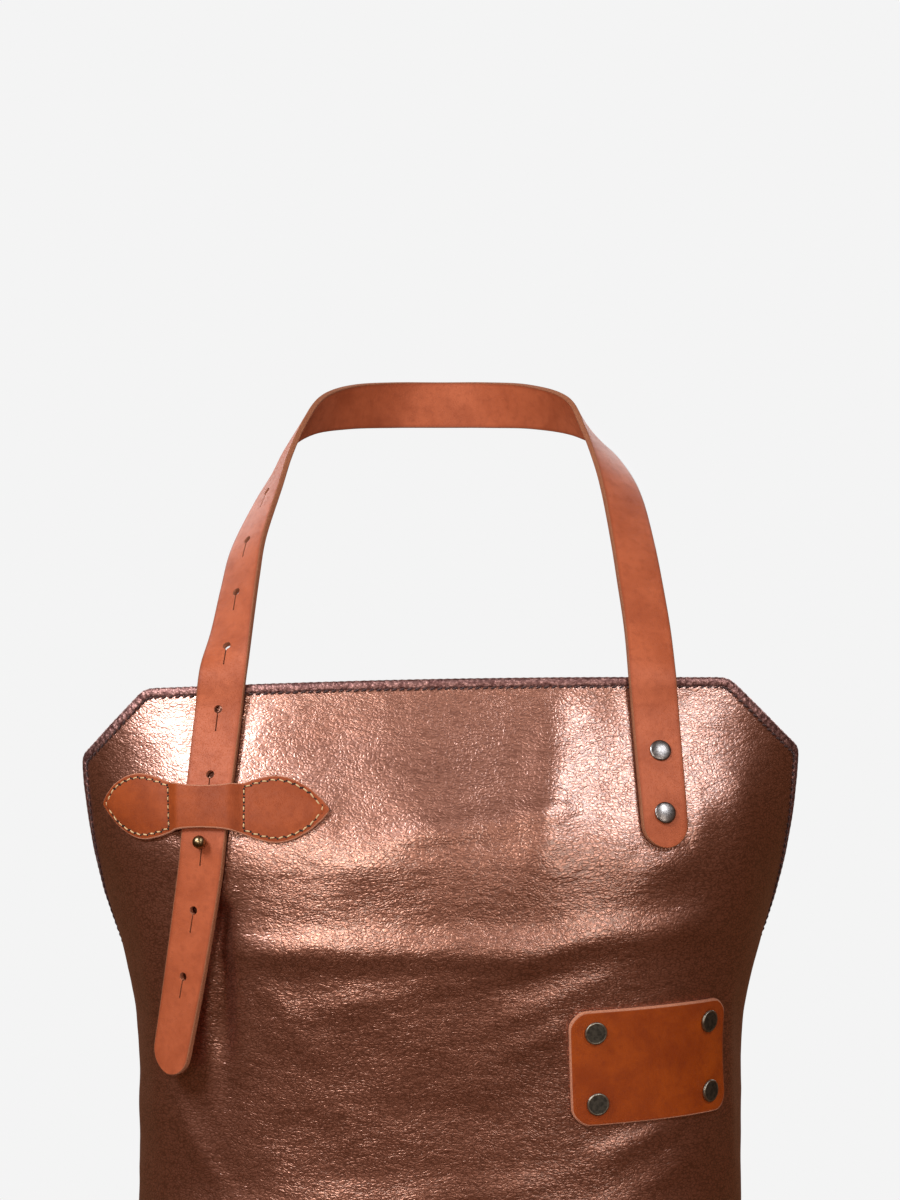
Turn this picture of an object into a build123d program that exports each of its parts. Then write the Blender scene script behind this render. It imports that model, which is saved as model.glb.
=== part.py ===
"""Leather bib apron with a riveted neck strap, in the shape it takes when it is worn.

Millimetres, +Z up, the wearer faces -Y. The origin is the middle of the neck strap's
inner face at the nape. The panel follows a smooth torso form whose level sections are
rounded ovals, and everything fastened to the panel is placed on that same form.
"""
import math
import os

from build123d import *

os.makedirs("parts", exist_ok=True)

# The torso form: half width and half depth of its level sections
WAIST_HALF_WIDTH = 163.0
CHEST_EXTRA_WIDTH = 44.0
SKIRT_EXTRA_WIDTH = 20.0
WAIST_HALF_DEPTH = 105.0
CHEST_EXTRA_DEPTH = 16.0
NECKLINE_SETBACK = 38.0
SKIRT_EXTRA_DEPTH = 26.0
FORM_CENTRE_Y = -85.0
SQUARENESS = 0.03

# The apron panel and its bound edge
BIB_TOP_Z = -147.0
PANEL_LENGTH = 830.0
HEM_Z = BIB_TOP_Z - PANEL_LENGTH
BIB_TOP_HALF = 155.0
CHAMFER_RUN = 31.0
CHAMFER_DROP = 32.0
TOP_ARCH = 3.0
BIB_ROLL = 1.1
BIB_SHIFT = -2.0
CHEST_FLAT_HALF = 205.0
SKIRT_FLAT_HALF = 305.0
PANEL_THICKNESS = 1.4
BINDING_WIDTH = 5.0
BINDING_PROUD = 0.4
BINDING_CUT = 6.0
FORM_TOP_Z = -125.0

# Straps
STRAP_WIDTH = 25.4
STRAP_THICKNESS = 3.0
LEFT_STRAP_GAP = 1.3
RIGHT_STRAP_GAP = 0.9
STUD_X, STUD_Z = -122.4, -229.0
HOLE_PITCH = 36.0
HOLE_RADIUS = 2.25
SLIT_LENGTH = 9.0
SLIT_WIDTH = 0.9
TAIL_BEND_DROP = 16.5
TAIL_TIP_DROP = 122.0
TAIL_LIFT = 9.0
BEND_GAP = 0.3
RIGHT_END_X, RIGHT_END_Z = 116.4, -219.0

NECK_FOLD_Z = -147.0

# Keeper over the left strap: a bow of two leaves joined by a bridge
KEEPER_X, KEEPER_Z = -121.8, -211.5
KEEPER_HALF_LENGTH = 66.0
KEEPER_LEAF_MIDDLE = 38.0
KEEPER_LEAF_HALF = 17.0
KEEPER_WAIST_HALF = 10.5
KEEPER_THICKNESS = 2.0
KEEPER_GAP = 0.3
KEEPER_BRIDGE_RISE = 4.9
KEEPER_MARGIN = 4.0

# Patch
PATCH_X, PATCH_Z = 113.0, -345.0
PATCH_WIDTH, PATCH_HEIGHT = 97.0, 61.0
PATCH_THICKNESS = 2.4
PATCH_TILT = 2.0
PATCH_GAP = 0.15
PATCH_MARGIN = 42.0
PATCH_CORNER = 9.0

# Rivets and studs
CAP_RADIUS = 5.7
CAP_HEIGHT = 1.7
CAP_RIM = 0.5
POST_RADIUS = 1.6
BACK_RADIUS = 5.0
BACK_THICKNESS = 0.9
SEAT_GAP = 0.05
INSIDE_GAP = 0.5
BALL_RADIUS = 3.5
STUD_NECK_RADIUS = 1.9
FLANGE_RADIUS = 4.2
FLANGE_THICKNESS = 0.9
STUD_CLEARANCE = 0.3
SCREW_RADIUS = 1.4

# Waist belt
BELT_Z = -437.0
BELT_ANCHOR_OVERLAP = 52.0
BELT_RIVET_INSETS = (14.0, 40.0)
BELT_GAP = 0.6
BELT_STUD_PAST_MIDDLE = 10.0
BELT_END_PAST_STUD = 20.0
BELT_TAIL_BEND = 16.5
BELT_TAIL_LENGTH = 120.0
BELT_TAIL_LIFT = 4.0
BELT_OVER = 4.5
RIGHT_BELT_START = 1.2  # from the panel's edge; clears the edge binding when it swings
BELT_CLEAR_HOLE = 4.2


def ease(value, low, high):
    """0 below low, 1 above high, and a smooth rise between them."""
    share = min(max((value - low) / (high - low), 0.0), 1.0)
    return share * share * (3 - 2 * share)


def half_width(z):
    chest = CHEST_EXTRA_WIDTH * ease(z, -350, -150)
    return WAIST_HALF_WIDTH + chest + SKIRT_EXTRA_WIDTH * ease(-z, 450, 900)


def half_depth(z):
    chest = CHEST_EXTRA_DEPTH * ease(z, -420, -270)
    neckline = NECKLINE_SETBACK * ease(z, -245, -135)
    return WAIST_HALF_DEPTH + chest - neckline + SKIRT_EXTRA_DEPTH * ease(-z, 450, 760)


def flat_half(z):
    """Half width of the flat panel at height z, measured along the leather."""
    return CHEST_FLAT_HALF + (SKIRT_FLAT_HALF - CHEST_FLAT_HALF) * ease(-z, 160, 450)


def form_xy(turn, z):
    """Point of the section at height z. turn is 0 at the front and grows towards +X."""
    across = (math.sin(turn) + SQUARENESS * math.sin(3 * turn)) / (1 - SQUARENESS)
    ahead = (math.cos(turn) - SQUARENESS * math.cos(3 * turn)) / (1 - SQUARENESS)
    return half_width(z) * across, FORM_CENTRE_Y - half_depth(z) * ahead


def form_slope(turn, z):
    """How the section's point moves with turn."""
    dx = half_width(z) * (math.cos(turn) + 3 * SQUARENESS * math.cos(3 * turn))
    dy = half_depth(z) * (math.sin(turn) - 3 * SQUARENESS * math.sin(3 * turn))
    return dx / (1 - SQUARENESS), dy / (1 - SQUARENESS)


def level_point(turn, z, out=0.0):
    """Point at distance out from the form, measured level."""
    x, y = form_xy(turn, z)
    dx, dy = form_slope(turn, z)
    size = math.hypot(dx, dy)
    return x + dy / size * out, y - dx / size * out


def normal_at(turn, z):
    dx, dy = form_slope(turn, z)
    (x0, y0), (x1, y1) = form_xy(turn, z - 1), form_xy(turn, z + 1)
    return Vector(dy, -dx, dx * (y1 - y0) / 2 - dy * (x1 - x0) / 2).normalized()


def turn_at_arc(arc, z):
    """The turn at a distance along the section from the front middle."""
    step = 0.004
    turn, run = 0.0, 0.0
    while run < abs(arc):
        run += math.hypot(*form_slope(turn + step / 2, z)) * step
        turn += step
    return math.copysign(turn, arc)


def turn_at_x(x, z):
    """The turn on the front half where the section has this x."""
    low, high = -math.pi / 2, math.pi / 2
    for _ in range(40):
        middle = (low + high) / 2
        low, high = (middle, high) if form_xy(middle, z)[0] < x else (low, middle)
    return low


def on_form(x, z, out=0.0):
    """Point over the front of the form, moved out along the surface's normal."""
    turn = turn_at_x(x, z)
    px, py = form_xy(turn, z)
    return Vector(px, py, z) + normal_at(turn, z) * out


def seat_plane(x, z, out=0.0, turn=None):
    """Plane lying on the form at x or at a turn, its normal pointing away from the wearer."""
    turn = turn_at_x(x, z) if turn is None else turn
    px, py = form_xy(turn, z)
    normal = normal_at(turn, z)
    dx, dy = form_slope(turn, z)
    origin = Vector(px, py, z) + normal * out
    return Plane(origin=origin, x_dir=Vector(dx, dy, 0), z_dir=normal)


# The front outline of the bib: arched top edge and cut corners, on a plane rolled to
# the angle at which the apron hangs
roll = math.radians(BIB_ROLL)
level_with_top = (math.cos(roll), 0, math.sin(roll))
bib_plane = Plane(origin=(BIB_SHIFT, 0, BIB_TOP_Z), x_dir=level_with_top, z_dir=(0, -1, 0))
chamfer_slope = CHAMFER_DROP / CHAMFER_RUN
chamfer_length = math.hypot(CHAMFER_DROP, CHAMFER_RUN)


def bib_outline(inset):
    """Everything of the front view that lies at least inset inside the bib's top edges."""
    wide, deep = 280.0, 900.0
    corner = BIB_TOP_HALF - inset * (chamfer_length - CHAMFER_RUN) / CHAMFER_DROP
    low = -inset - (wide - corner) * chamfer_slope
    with BuildSketch(bib_plane) as outline:
        with BuildLine():
            ThreePointArc((-corner, -inset), (0, TOP_ARCH - inset), (corner, -inset))
            Polyline((corner, -inset), (wide, low), (wide, -deep))
            Line((wide, -deep), (-wide, -deep))
            Polyline((-wide, -deep), (-wide, low), (-corner, -inset))
        make_face()
    extrude(outline.sketch, amount=400, both=True, mode=Mode.INTERSECT)


def skin(top, bottom, ends, offsets, levels=36, count=15):
    """A sheet on the form. ends(z) gives the two turns and offsets(x, z) the two faces."""
    sections = []
    for level in range(levels):
        z = top + (bottom - top) * level / (levels - 1)
        first, last = ends(z)
        turns = [first + (last - first) * i / (count - 1) for i in range(count)]
        inner = [level_point(t, z, offsets(form_xy(t, z)[0], z)[0]) for t in turns]
        outer = [level_point(t, z, offsets(form_xy(t, z)[0], z)[1]) for t in turns]
        with BuildSketch(Plane.XY.offset(z)) as section:
            with BuildLine():
                Spline(*outer)
                Line(outer[-1], inner[-1])
                Spline(*reversed(inner))
                Line(inner[0], outer[0])
            make_face()
        sections.append(section.sketch)
    loft(sections)


def panel_ends(inset):
    def ends(z):
        reach = turn_at_arc(flat_half(z) - inset, z)
        return -reach, reach

    return ends


def post_holes(planes, radius=POST_RADIUS + SEAT_GAP):
    for plane in planes:
        with BuildSketch(plane) as hole:
            Circle(radius)
        extrude(hole.sketch, amount=14, both=True, mode=Mode.SUBTRACT)


def save(piece, name):
    piece.part.label = name
    export_step(piece.part, f"parts/{name}.step")


def smooth(values, position):
    """Catmull-Rom value at a fractional place in a list of vectors."""
    index = min(max(int(position), 0), len(values) - 2)
    share = position - index
    before = values[index - 1] if index > 0 else values[0] * 2 - values[1]
    after = values[index + 2] if index + 2 < len(values) else values[-1] * 2 - values[-2]
    here, there = values[index], values[index + 1]
    linear = (there - before) * (share / 2)
    square = (before * 2 - here * 5 + there * 4 - after) * (share**2 / 2)
    cube = (here * 3 - before - there * 3 + after) * (share**3 / 2)
    return here + linear + square + cube


# The neck strap's middle line and the way its face points, from the tail's tip, up over
# the left of the chest, round the nape and down to the riveted end
def left_strap_x(z):
    return STUD_X + 0.1 * (z - STUD_Z)


def right_strap_x(z):
    return RIGHT_END_X - 0.07 * (z - RIGHT_END_Z)


tail_bend_z = STUD_Z - TAIL_BEND_DROP
tail_tip_z = STUD_Z - TAIL_TIP_DROP
left_levels = [tail_tip_z, tail_tip_z + 31, tail_tip_z + 62, tail_bend_z, STUD_Z, -207, -184, -162, -141]
right_levels = [-141, -162, -185, -208, RIGHT_END_Z - STRAP_WIDTH / 2]
shoulder = [
    ((-110.2, -144.5, -118.5), (-0.48, -0.64, 0.60)),
    ((-106.6, -126, -95), (-0.60, -0.56, 0.57)),
    ((-102.8, -108.5, -74.6), (-0.67, -0.46, 0.58)),
    ((-93.3, -86, -49.5), (-0.78, -0.29, 0.56)),
    ((-86.2, -71, -33), (-0.86, -0.13, 0.49)),
    ((-77.5, -55.5, -15), (-0.85, 0, 0.53)),
    ((-66.5, -38, -5), (-0.78, 0.42, 0.50)),
    ((-49, -17, -1), (-0.67, 0.68, 0.30)),
    ((-26, -3.3, 0), (-0.37, 0.92, 0.12)),
    ((0, STRAP_THICKNESS / 2, 0), (0, 1, 0)),
    ((26, -3.3, 0), (0.37, 0.92, 0.12)),
    ((50, -17, -1), (0.67, 0.68, 0.30)),
    ((71, -38, -6), (0.80, 0.45, 0.50)),
    ((83.6, -56, -18), (0.80, -0.18, 0.58)),
    ((92.6, -72, -33.6), (0.63, -0.45, 0.63)),
    ((98.4, -87, -50), (0.48, -0.61, 0.63)),
    ((103.3, -108.5, -74.6), (0.37, -0.68, 0.63)),
    ((106.4, -126, -95), (0.30, -0.72, 0.62)),
    ((109.6, -144.5, -118.5), (0.25, -0.75, 0.62)),
]
strap_points, strap_normals = [], []
for z in left_levels:
    lift = TAIL_LIFT * max(tail_bend_z - z, 0) / (tail_bend_z - tail_tip_z)
    strap_points.append(on_form(left_strap_x(z), z, LEFT_STRAP_GAP + STRAP_THICKNESS / 2 + lift))
    strap_normals.append(normal_at(turn_at_x(left_strap_x(z), z), z))
for point, normal in shoulder:
    strap_points.append(Vector(*point))
    strap_normals.append(Vector(*normal).normalized())
for z in right_levels:
    strap_points.append(on_form(right_strap_x(z), z, RIGHT_STRAP_GAP + STRAP_THICKNESS / 2))
    strap_normals.append(normal_at(turn_at_x(right_strap_x(z), z), z))
strap_end = len(strap_points) - 1


def strap_plane(position):
    """Plane across the strap: x over its width, y away from the wearer, z along it."""
    reach = 0.05
    along = smooth(strap_points, position + reach) - smooth(strap_points, position - reach)
    outward = smooth(strap_normals, position)
    return Plane(origin=smooth(strap_points, position), x_dir=outward.cross(along), z_dir=along.normalized())


def strap_face(position):
    """Plane in the strap's middle: y towards the tail's tip, z away from the wearer."""
    across = strap_plane(position)
    return Plane(origin=across.origin, x_dir=across.x_dir, z_dir=across.y_dir)


def strap_position(start, run):
    """The place a distance run along the strap from another place."""
    step = 0.01 if run > 0 else -0.01
    position, gone = start, 0.0
    while gone < abs(run):
        gone += (smooth(strap_points, position + step) - smooth(strap_points, position)).length
        position += step
    return position


def neck_ribbon(first, last, per_station=2):
    """The strap between two places, as one solid."""
    count = max(round((last - first) * per_station), 2)
    sections = []
    for i in range(count + 1):
        with BuildSketch(strap_plane(first + (last - first) * i / count)) as section:
            Rectangle(STRAP_WIDTH, STRAP_THICKNESS)
        sections.append(section.sketch)
    loft(sections)


def cut_sketch(sketch, amount=8):
    extrude(sketch, amount=amount, both=True, mode=Mode.SUBTRACT)


def keyholes(planes, radius=HOLE_RADIUS):
    """A round hole with a slit running from it along the plane's +y."""
    for plane in planes:
        with BuildSketch(plane) as keyhole:
            Circle(radius)
            with Locations((0, SLIT_LENGTH / 2 + HOLE_RADIUS / 2)):
                Rectangle(SLIT_WIDTH, SLIT_LENGTH + HOLE_RADIUS)
        cut_sketch(keyhole.sketch)


def round_end(plane, width=STRAP_WIDTH):
    """Rounds a strap's end. The plane's +y runs off the end, half a width beyond it."""
    with BuildSketch(plane) as corners:
        Rectangle(width + 4, width / 2 + 4, align=(Align.CENTER, Align.MIN))
        Circle(width / 2, mode=Mode.SUBTRACT)
    cut_sketch(corners.sketch)


def turned(plane):
    """The same plane with its x and y axes reversed."""
    return Plane(origin=plane.origin, x_dir=plane.x_dir * -1, z_dir=plane.z_dir)


def dome_cap(seats, out):
    """Round rivet caps with their flat side at height out above each seat."""
    rise = CAP_HEIGHT - CAP_RIM
    sphere_radius = (CAP_RADIUS**2 + rise**2) / (2 * rise)
    for seat in seats:
        base = seat.offset(out)
        with BuildSketch(Plane(origin=base.origin, x_dir=base.x_dir, z_dir=base.y_dir * -1)) as half:
            with BuildLine():
                Polyline((0, CAP_HEIGHT), (0, 0), (CAP_RADIUS, 0), (CAP_RADIUS, CAP_RIM))
                RadiusArc((0, CAP_HEIGHT), (CAP_RADIUS, CAP_RIM), sphere_radius)
            make_face()
        revolve(half.sketch, axis=Axis(base.origin, base.z_dir))


def rivet_post(seats, low, high):
    """Back caps with their posts, reaching from low to high along each seat's normal."""
    for seat in seats:
        with BuildSketch(seat.offset(low - BACK_THICKNESS)) as back:
            Circle(BACK_RADIUS)
        extrude(back.sketch, amount=BACK_THICKNESS)
        with BuildSketch(seat.offset(low)) as post:
            Circle(POST_RADIUS)
        extrude(post.sketch, amount=high - low)


def stud_body(seat, low, grip):
    """Flange, neck and ball. The flange stands at low; grip is the strap's thickness."""
    top = low + FLANGE_THICKNESS + grip
    ball = top + BALL_RADIUS
    with BuildSketch(seat.offset(low)) as flange:
        Circle(FLANGE_RADIUS)
    extrude(flange.sketch, amount=FLANGE_THICKNESS)
    with BuildSketch(seat.offset(low)) as neck:
        Circle(STUD_NECK_RADIUS)
    extrude(neck.sketch, amount=ball - low)
    sphere = Sphere(BALL_RADIUS, mode=Mode.PRIVATE)
    add(seat.offset(ball).location * sphere)


def stud_screw(seat, low, high):
    """Flat head with its shank, from low to the underside of the stud's flange."""
    with BuildSketch(seat.offset(low - BACK_THICKNESS)) as head:
        Circle(BACK_RADIUS)
    extrude(head.sketch, amount=BACK_THICKNESS)
    with BuildSketch(seat.offset(low)) as shank:
        Circle(SCREW_RADIUS)
    extrude(shank.sketch, amount=high - low)


# Where the fastenings stand
stud_seat = seat_plane(STUD_X, STUD_Z)
strap_rivet_seats = [seat_plane(114.4, -182.9), seat_plane(116.2, -214.2)]


def patch_spot(across, up):
    """A spot of the patch, from its middle, across and up its own tilted axes."""
    tilt = math.radians(PATCH_TILT)
    level = across * math.cos(tilt) - up * math.sin(tilt)
    rise = across * math.sin(tilt) + up * math.cos(tilt)
    middle = turn_at_x(PATCH_X, PATCH_Z)
    speed = math.hypot(*form_slope(middle, PATCH_Z))
    return seat_plane(0, PATCH_Z + rise, turn=middle + level / speed)


patch_rivet_seats = [patch_spot(x, y) for x in (-34.5, 34.5) for y in (-19, 19)]


def belt_seat(side, inset, out=0.0):
    """Plane on the waist section, inset from the panel's side edge."""
    turn = side * turn_at_arc(flat_half(BELT_Z) - inset, BELT_Z)
    return seat_plane(0, BELT_Z, out=out, turn=turn)


belt_rivet_seats = [belt_seat(side, inset) for side in (-1, 1) for inset in BELT_RIVET_INSETS]

# Apron panel
with BuildPart() as apron_panel:
    skin(FORM_TOP_Z, HEM_Z + BINDING_WIDTH, panel_ends(BINDING_WIDTH), lambda x, z: (-PANEL_THICKNESS, 0))
    bib_outline(BINDING_WIDTH)
    post_holes([stud_seat], SCREW_RADIUS + SEAT_GAP)
    post_holes(strap_rivet_seats + patch_rivet_seats + belt_rivet_seats)
save(apron_panel, "apron_panel")

# Edge binding: the leather strip folded round the panel's whole edge
with BuildPart() as inside_binding:
    skin(
        FORM_TOP_Z,
        HEM_Z + BINDING_WIDTH,
        panel_ends(BINDING_WIDTH),
        lambda x, z: (-BINDING_CUT, BINDING_CUT),
    )
    bib_outline(BINDING_WIDTH)
with BuildPart() as edge_binding:
    skin(FORM_TOP_Z, HEM_Z, panel_ends(0), lambda x, z: (-PANEL_THICKNESS - BINDING_PROUD, BINDING_PROUD))
    bib_outline(0)
    add(inside_binding.part, mode=Mode.SUBTRACT)
save(edge_binding, "edge_binding")

# The neck strap's lengths: tail, the part held by the keeper and the stud, the loop
# round the neck, and the riveted end
stud_place = left_levels.index(STUD_Z)
bend_place = left_levels.index(tail_bend_z)
hole_places = {n: strap_position(stud_place, n * HOLE_PITCH) for n in range(-2, 7)}
bend_plane = strap_plane(bend_place)

with BuildPart() as strap_tail:
    neck_ribbon(0, 4)
    split(bisect_by=bend_plane.offset(-BEND_GAP / 2), keep=Keep.BOTTOM)
    keyholes([strap_face(hole_places[n]) for n in (-2, -1)])
    round_end(strap_face(strap_position(0, STRAP_WIDTH / 2)))
save(strap_tail, "strap_tail")

with BuildPart() as strap_stud_length:
    neck_ribbon(2, 10)
    split(bisect_by=bend_plane.offset(BEND_GAP / 2), keep=Keep.TOP)
    split(bisect_by=Plane.XY.offset(NECK_FOLD_Z - BEND_GAP / 2), keep=Keep.BOTTOM)
    keyholes([strap_face(hole_places[n]) for n in (0, 1, 2)])
save(strap_stud_length, "strap_stud_length")

with BuildPart() as neck_strap:
    neck_ribbon(7, strap_end - 3)
    split(bisect_by=Plane.XY.offset(NECK_FOLD_Z + BEND_GAP / 2), keep=Keep.TOP)
    keyholes([strap_face(hole_places[n]) for n in (3, 4, 5, 6)])
save(neck_strap, "neck_strap")

with BuildPart() as strap_riveted_end:
    neck_ribbon(strap_end - 6, strap_end)
    split(bisect_by=Plane.XY.offset(NECK_FOLD_Z - BEND_GAP / 2), keep=Keep.BOTTOM)
    round_end(turned(strap_face(strap_position(strap_end, -STRAP_WIDTH / 2))))
    post_holes(strap_rivet_seats)
save(strap_riveted_end, "strap_riveted_end")

# Keeper: two stitched leaves joined by a bridge over the strap
keeper_plane = seat_plane(KEEPER_X, KEEPER_Z)


def keeper_offsets(x, z):
    strap_x = left_strap_x(z)
    near = 1 - ease(abs(x - strap_x), STRAP_WIDTH / 2 + 1.0, STRAP_WIDTH / 2 + 8.0)
    inner = KEEPER_GAP + KEEPER_BRIDGE_RISE * near
    return inner, inner + KEEPER_THICKNESS


with BuildPart() as strap_keeper:
    skin(
        KEEPER_Z + KEEPER_LEAF_HALF + KEEPER_MARGIN,
        KEEPER_Z - KEEPER_LEAF_HALF - KEEPER_MARGIN,
        lambda z: (turn_at_x(KEEPER_X - 61, z), turn_at_x(KEEPER_X + 71, z)),
        keeper_offsets,
        levels=5,
        count=45,
    )
    with BuildSketch(keeper_plane) as bow:
        with BuildLine():
            Spline(
                (0, KEEPER_WAIST_HALF),
                (KEEPER_LEAF_MIDDLE / 2, KEEPER_WAIST_HALF + 1.8),
                (KEEPER_LEAF_MIDDLE, KEEPER_LEAF_HALF),
                (KEEPER_HALF_LENGTH - 9, KEEPER_WAIST_HALF),
                (KEEPER_HALF_LENGTH, 0),
                tangents=((1, 0), (0.4, -1)),
            )
            Line((KEEPER_HALF_LENGTH, 0), (0, 0))
            Line((0, 0), (0, KEEPER_WAIST_HALF))
        make_face()
        mirror(about=Plane.XZ)
        mirror(about=Plane.YZ)
    extrude(bow.sketch, amount=60, both=True, mode=Mode.INTERSECT)
save(strap_keeper, "strap_keeper")

# Stud that the strap buttons onto, and the screw that holds it from inside
strap_grip = LEFT_STRAP_GAP - FLANGE_THICKNESS + STRAP_THICKNESS + STUD_CLEARANCE
with BuildPart() as strap_stud:
    stud_body(stud_seat, 2 * SEAT_GAP, strap_grip)
save(strap_stud, "strap_stud")

with BuildPart() as stud_screw_piece:
    stud_screw(stud_seat, -PANEL_THICKNESS - INSIDE_GAP, 2 * SEAT_GAP)
save(stud_screw_piece, "stud_screw")

# Rivets of the strap's right end
strap_cap_out = RIGHT_STRAP_GAP + STRAP_THICKNESS + 4 * SEAT_GAP
with BuildPart() as strap_rivet_caps:
    dome_cap(strap_rivet_seats, strap_cap_out)
save(strap_rivet_caps, "strap_rivet_caps")

with BuildPart() as strap_rivet_posts:
    rivet_post(strap_rivet_seats, -PANEL_THICKNESS - INSIDE_GAP, strap_cap_out)
save(strap_rivet_posts, "strap_rivet_posts")

# Patch and its four rivets
with BuildPart() as patch:
    skin(
        PATCH_Z + PATCH_MARGIN,
        PATCH_Z - PATCH_MARGIN,
        lambda z: (turn_at_x(PATCH_X - 58.5, z), turn_at_x(PATCH_X + 48.5, z)),
        lambda x, z: (PATCH_GAP, PATCH_GAP + PATCH_THICKNESS),
        levels=6,
    )
    with BuildSketch(seat_plane(PATCH_X, PATCH_Z)) as patch_outline:
        RectangleRounded(PATCH_WIDTH, PATCH_HEIGHT, PATCH_CORNER, rotation=PATCH_TILT)
    extrude(patch_outline.sketch, amount=60, both=True, mode=Mode.INTERSECT)
    post_holes(patch_rivet_seats)
save(patch, "patch")

patch_cap_out = PATCH_GAP + PATCH_THICKNESS + 2 * SEAT_GAP
with BuildPart() as patch_rivet_caps:
    dome_cap(patch_rivet_seats, patch_cap_out)
save(patch_rivet_caps, "patch_rivet_caps")

with BuildPart() as patch_rivet_posts:
    rivet_post(patch_rivet_seats, -PANEL_THICKNESS - INSIDE_GAP, patch_cap_out)
save(patch_rivet_posts, "patch_rivet_posts")

# Waist belt: two halves riveted to the panel's sides, joined at the back over a stud.
# Places on it are arcs along the waist section from the front middle, towards +X
edge_arc = flat_half(BELT_Z)
back_arc = 0.0
while turn_at_arc(back_arc, BELT_Z) < math.pi:
    back_arc += 1.0
stud_arc = back_arc - BELT_STUD_PAST_MIDDLE
belt_bend_arc = stud_arc - BELT_TAIL_BEND
belt_tip_arc = stud_arc - BELT_TAIL_LENGTH
right_end_arc = stud_arc + BELT_END_PAST_STUD


def belt_strip(first, last, offset, count=25):
    """Part of the belt between two arcs; offset(arc) is its inner face's height."""
    inner, outer = [], []
    for i in range(count):
        arc = first + (last - first) * i / (count - 1)
        turn = turn_at_arc(arc, BELT_Z)
        inner.append(level_point(turn, BELT_Z, offset(arc)))
        outer.append(level_point(turn, BELT_Z, offset(arc) + STRAP_THICKNESS))
    with BuildSketch(Plane.XY.offset(BELT_Z)) as strip:
        with BuildLine():
            Spline(*outer)
            Line(outer[-1], inner[-1])
            Spline(*reversed(inner))
            Line(inner[0], outer[0])
        make_face()
    extrude(strip.sketch, amount=STRAP_WIDTH / 2, both=True)


def belt_face(arc, out, towards):
    """Plane on the belt at an arc: +y runs along it to smaller (-1) or larger (1) arcs."""
    turn = turn_at_arc(arc, BELT_Z)
    seat = seat_plane(0, BELT_Z, out=out, turn=turn)
    return Plane(origin=seat.origin, x_dir=(0, 0, -towards), z_dir=seat.z_dir)


def left_belt_offset(arc):
    """The left half rises over the right half's end, then its tail lifts a little."""
    from_left = 2 * back_arc - arc
    over = ease(from_left, 2 * back_arc - right_end_arc - 42, 2 * back_arc - right_end_arc - 6)
    lift = BELT_TAIL_LIFT * max(belt_bend_arc - arc, 0) / (belt_bend_arc - belt_tip_arc)
    return BELT_GAP + (BELT_OVER - BELT_GAP) * over + lift


left_edge_arc = 2 * back_arc - edge_arc
for name, first, last in (
    ("belt_left_anchor", left_edge_arc, left_edge_arc + BELT_ANCHOR_OVERLAP),
    ("belt_right_anchor", edge_arc - BELT_ANCHOR_OVERLAP, edge_arc),
):
    with BuildPart() as belt_anchor:
        belt_strip(first, last, lambda arc: BELT_GAP, count=9)
        post_holes(belt_rivet_seats)
    save(belt_anchor, name)

with BuildPart() as belt_left:
    belt_strip(belt_bend_arc + BEND_GAP, left_edge_arc - BEND_GAP, left_belt_offset, count=45)
    keyholes([belt_face(stud_arc, BELT_OVER, -1)], radius=BELT_CLEAR_HOLE)
save(belt_left, "belt_left")

with BuildPart() as belt_tail:
    belt_strip(belt_tip_arc, belt_bend_arc, left_belt_offset)
    keyholes([belt_face(stud_arc - n * HOLE_PITCH, BELT_OVER, -1) for n in (1, 2)])
    round_end(belt_face(belt_tip_arc + STRAP_WIDTH / 2, BELT_OVER + BELT_TAIL_LIFT, -1))
save(belt_tail, "belt_tail")

belt_stud_seat = seat_plane(0, BELT_Z, turn=turn_at_arc(stud_arc, BELT_Z))
with BuildPart() as belt_right:
    belt_strip(edge_arc + RIGHT_BELT_START, right_end_arc, lambda arc: BELT_GAP, count=25)
    post_holes([belt_stud_seat], SCREW_RADIUS + SEAT_GAP)
    round_end(belt_face(right_end_arc - STRAP_WIDTH / 2, BELT_GAP, 1))
save(belt_right, "belt_right")

belt_top = BELT_GAP + STRAP_THICKNESS
belt_grip = BELT_OVER + STRAP_THICKNESS - belt_top - FLANGE_THICKNESS + STUD_CLEARANCE
with BuildPart() as belt_stud:
    stud_body(belt_stud_seat, belt_top + SEAT_GAP, belt_grip)
save(belt_stud, "belt_stud")

with BuildPart() as belt_stud_screw:
    stud_screw(belt_stud_seat, BELT_GAP - INSIDE_GAP, belt_top + SEAT_GAP)
save(belt_stud_screw, "belt_stud_screw")

belt_cap_out = belt_top + SEAT_GAP
with BuildPart() as belt_rivet_caps:
    dome_cap(belt_rivet_seats, belt_cap_out)
save(belt_rivet_caps, "belt_rivet_caps")

with BuildPart() as belt_rivet_posts:
    rivet_post(belt_rivet_seats, -PANEL_THICKNESS - INSIDE_GAP, belt_cap_out)
save(belt_rivet_posts, "belt_rivet_posts")

# The hinge lines of the parts that swing
tail_pivot = bend_plane.origin + bend_plane.y_dir * (STRAP_THICKNESS / 2)
print("strap tail pivot", tail_pivot, "axis", bend_plane.x_dir)
print("neck strap outermost y at the fold", neck_strap.part.bounding_box().min.Y)
print("belt left pivot", belt_face(left_edge_arc - BEND_GAP / 2, BELT_GAP + STRAP_THICKNESS, -1).origin)
print("belt right pivot", belt_face(edge_arc + BEND_GAP / 2, BELT_GAP, 1).origin)
print("belt tail pivot", belt_face(belt_bend_arc + BEND_GAP / 2, BELT_OVER + STRAP_THICKNESS, -1).origin)
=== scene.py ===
"""Looks of the leather bib apron: metallic panel, bound edge, tan straps, keeper, patch and belt.

Lengths are millimetres in the part's own frame, and are turned into metres where objects are
made. Everything lies on the same torso form as the CAD part: a place on it is an arc, measured
level from the front middle, and a height z.
"""

import math

import bmesh
import bpy
import numpy as np
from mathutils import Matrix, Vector, noise


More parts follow.
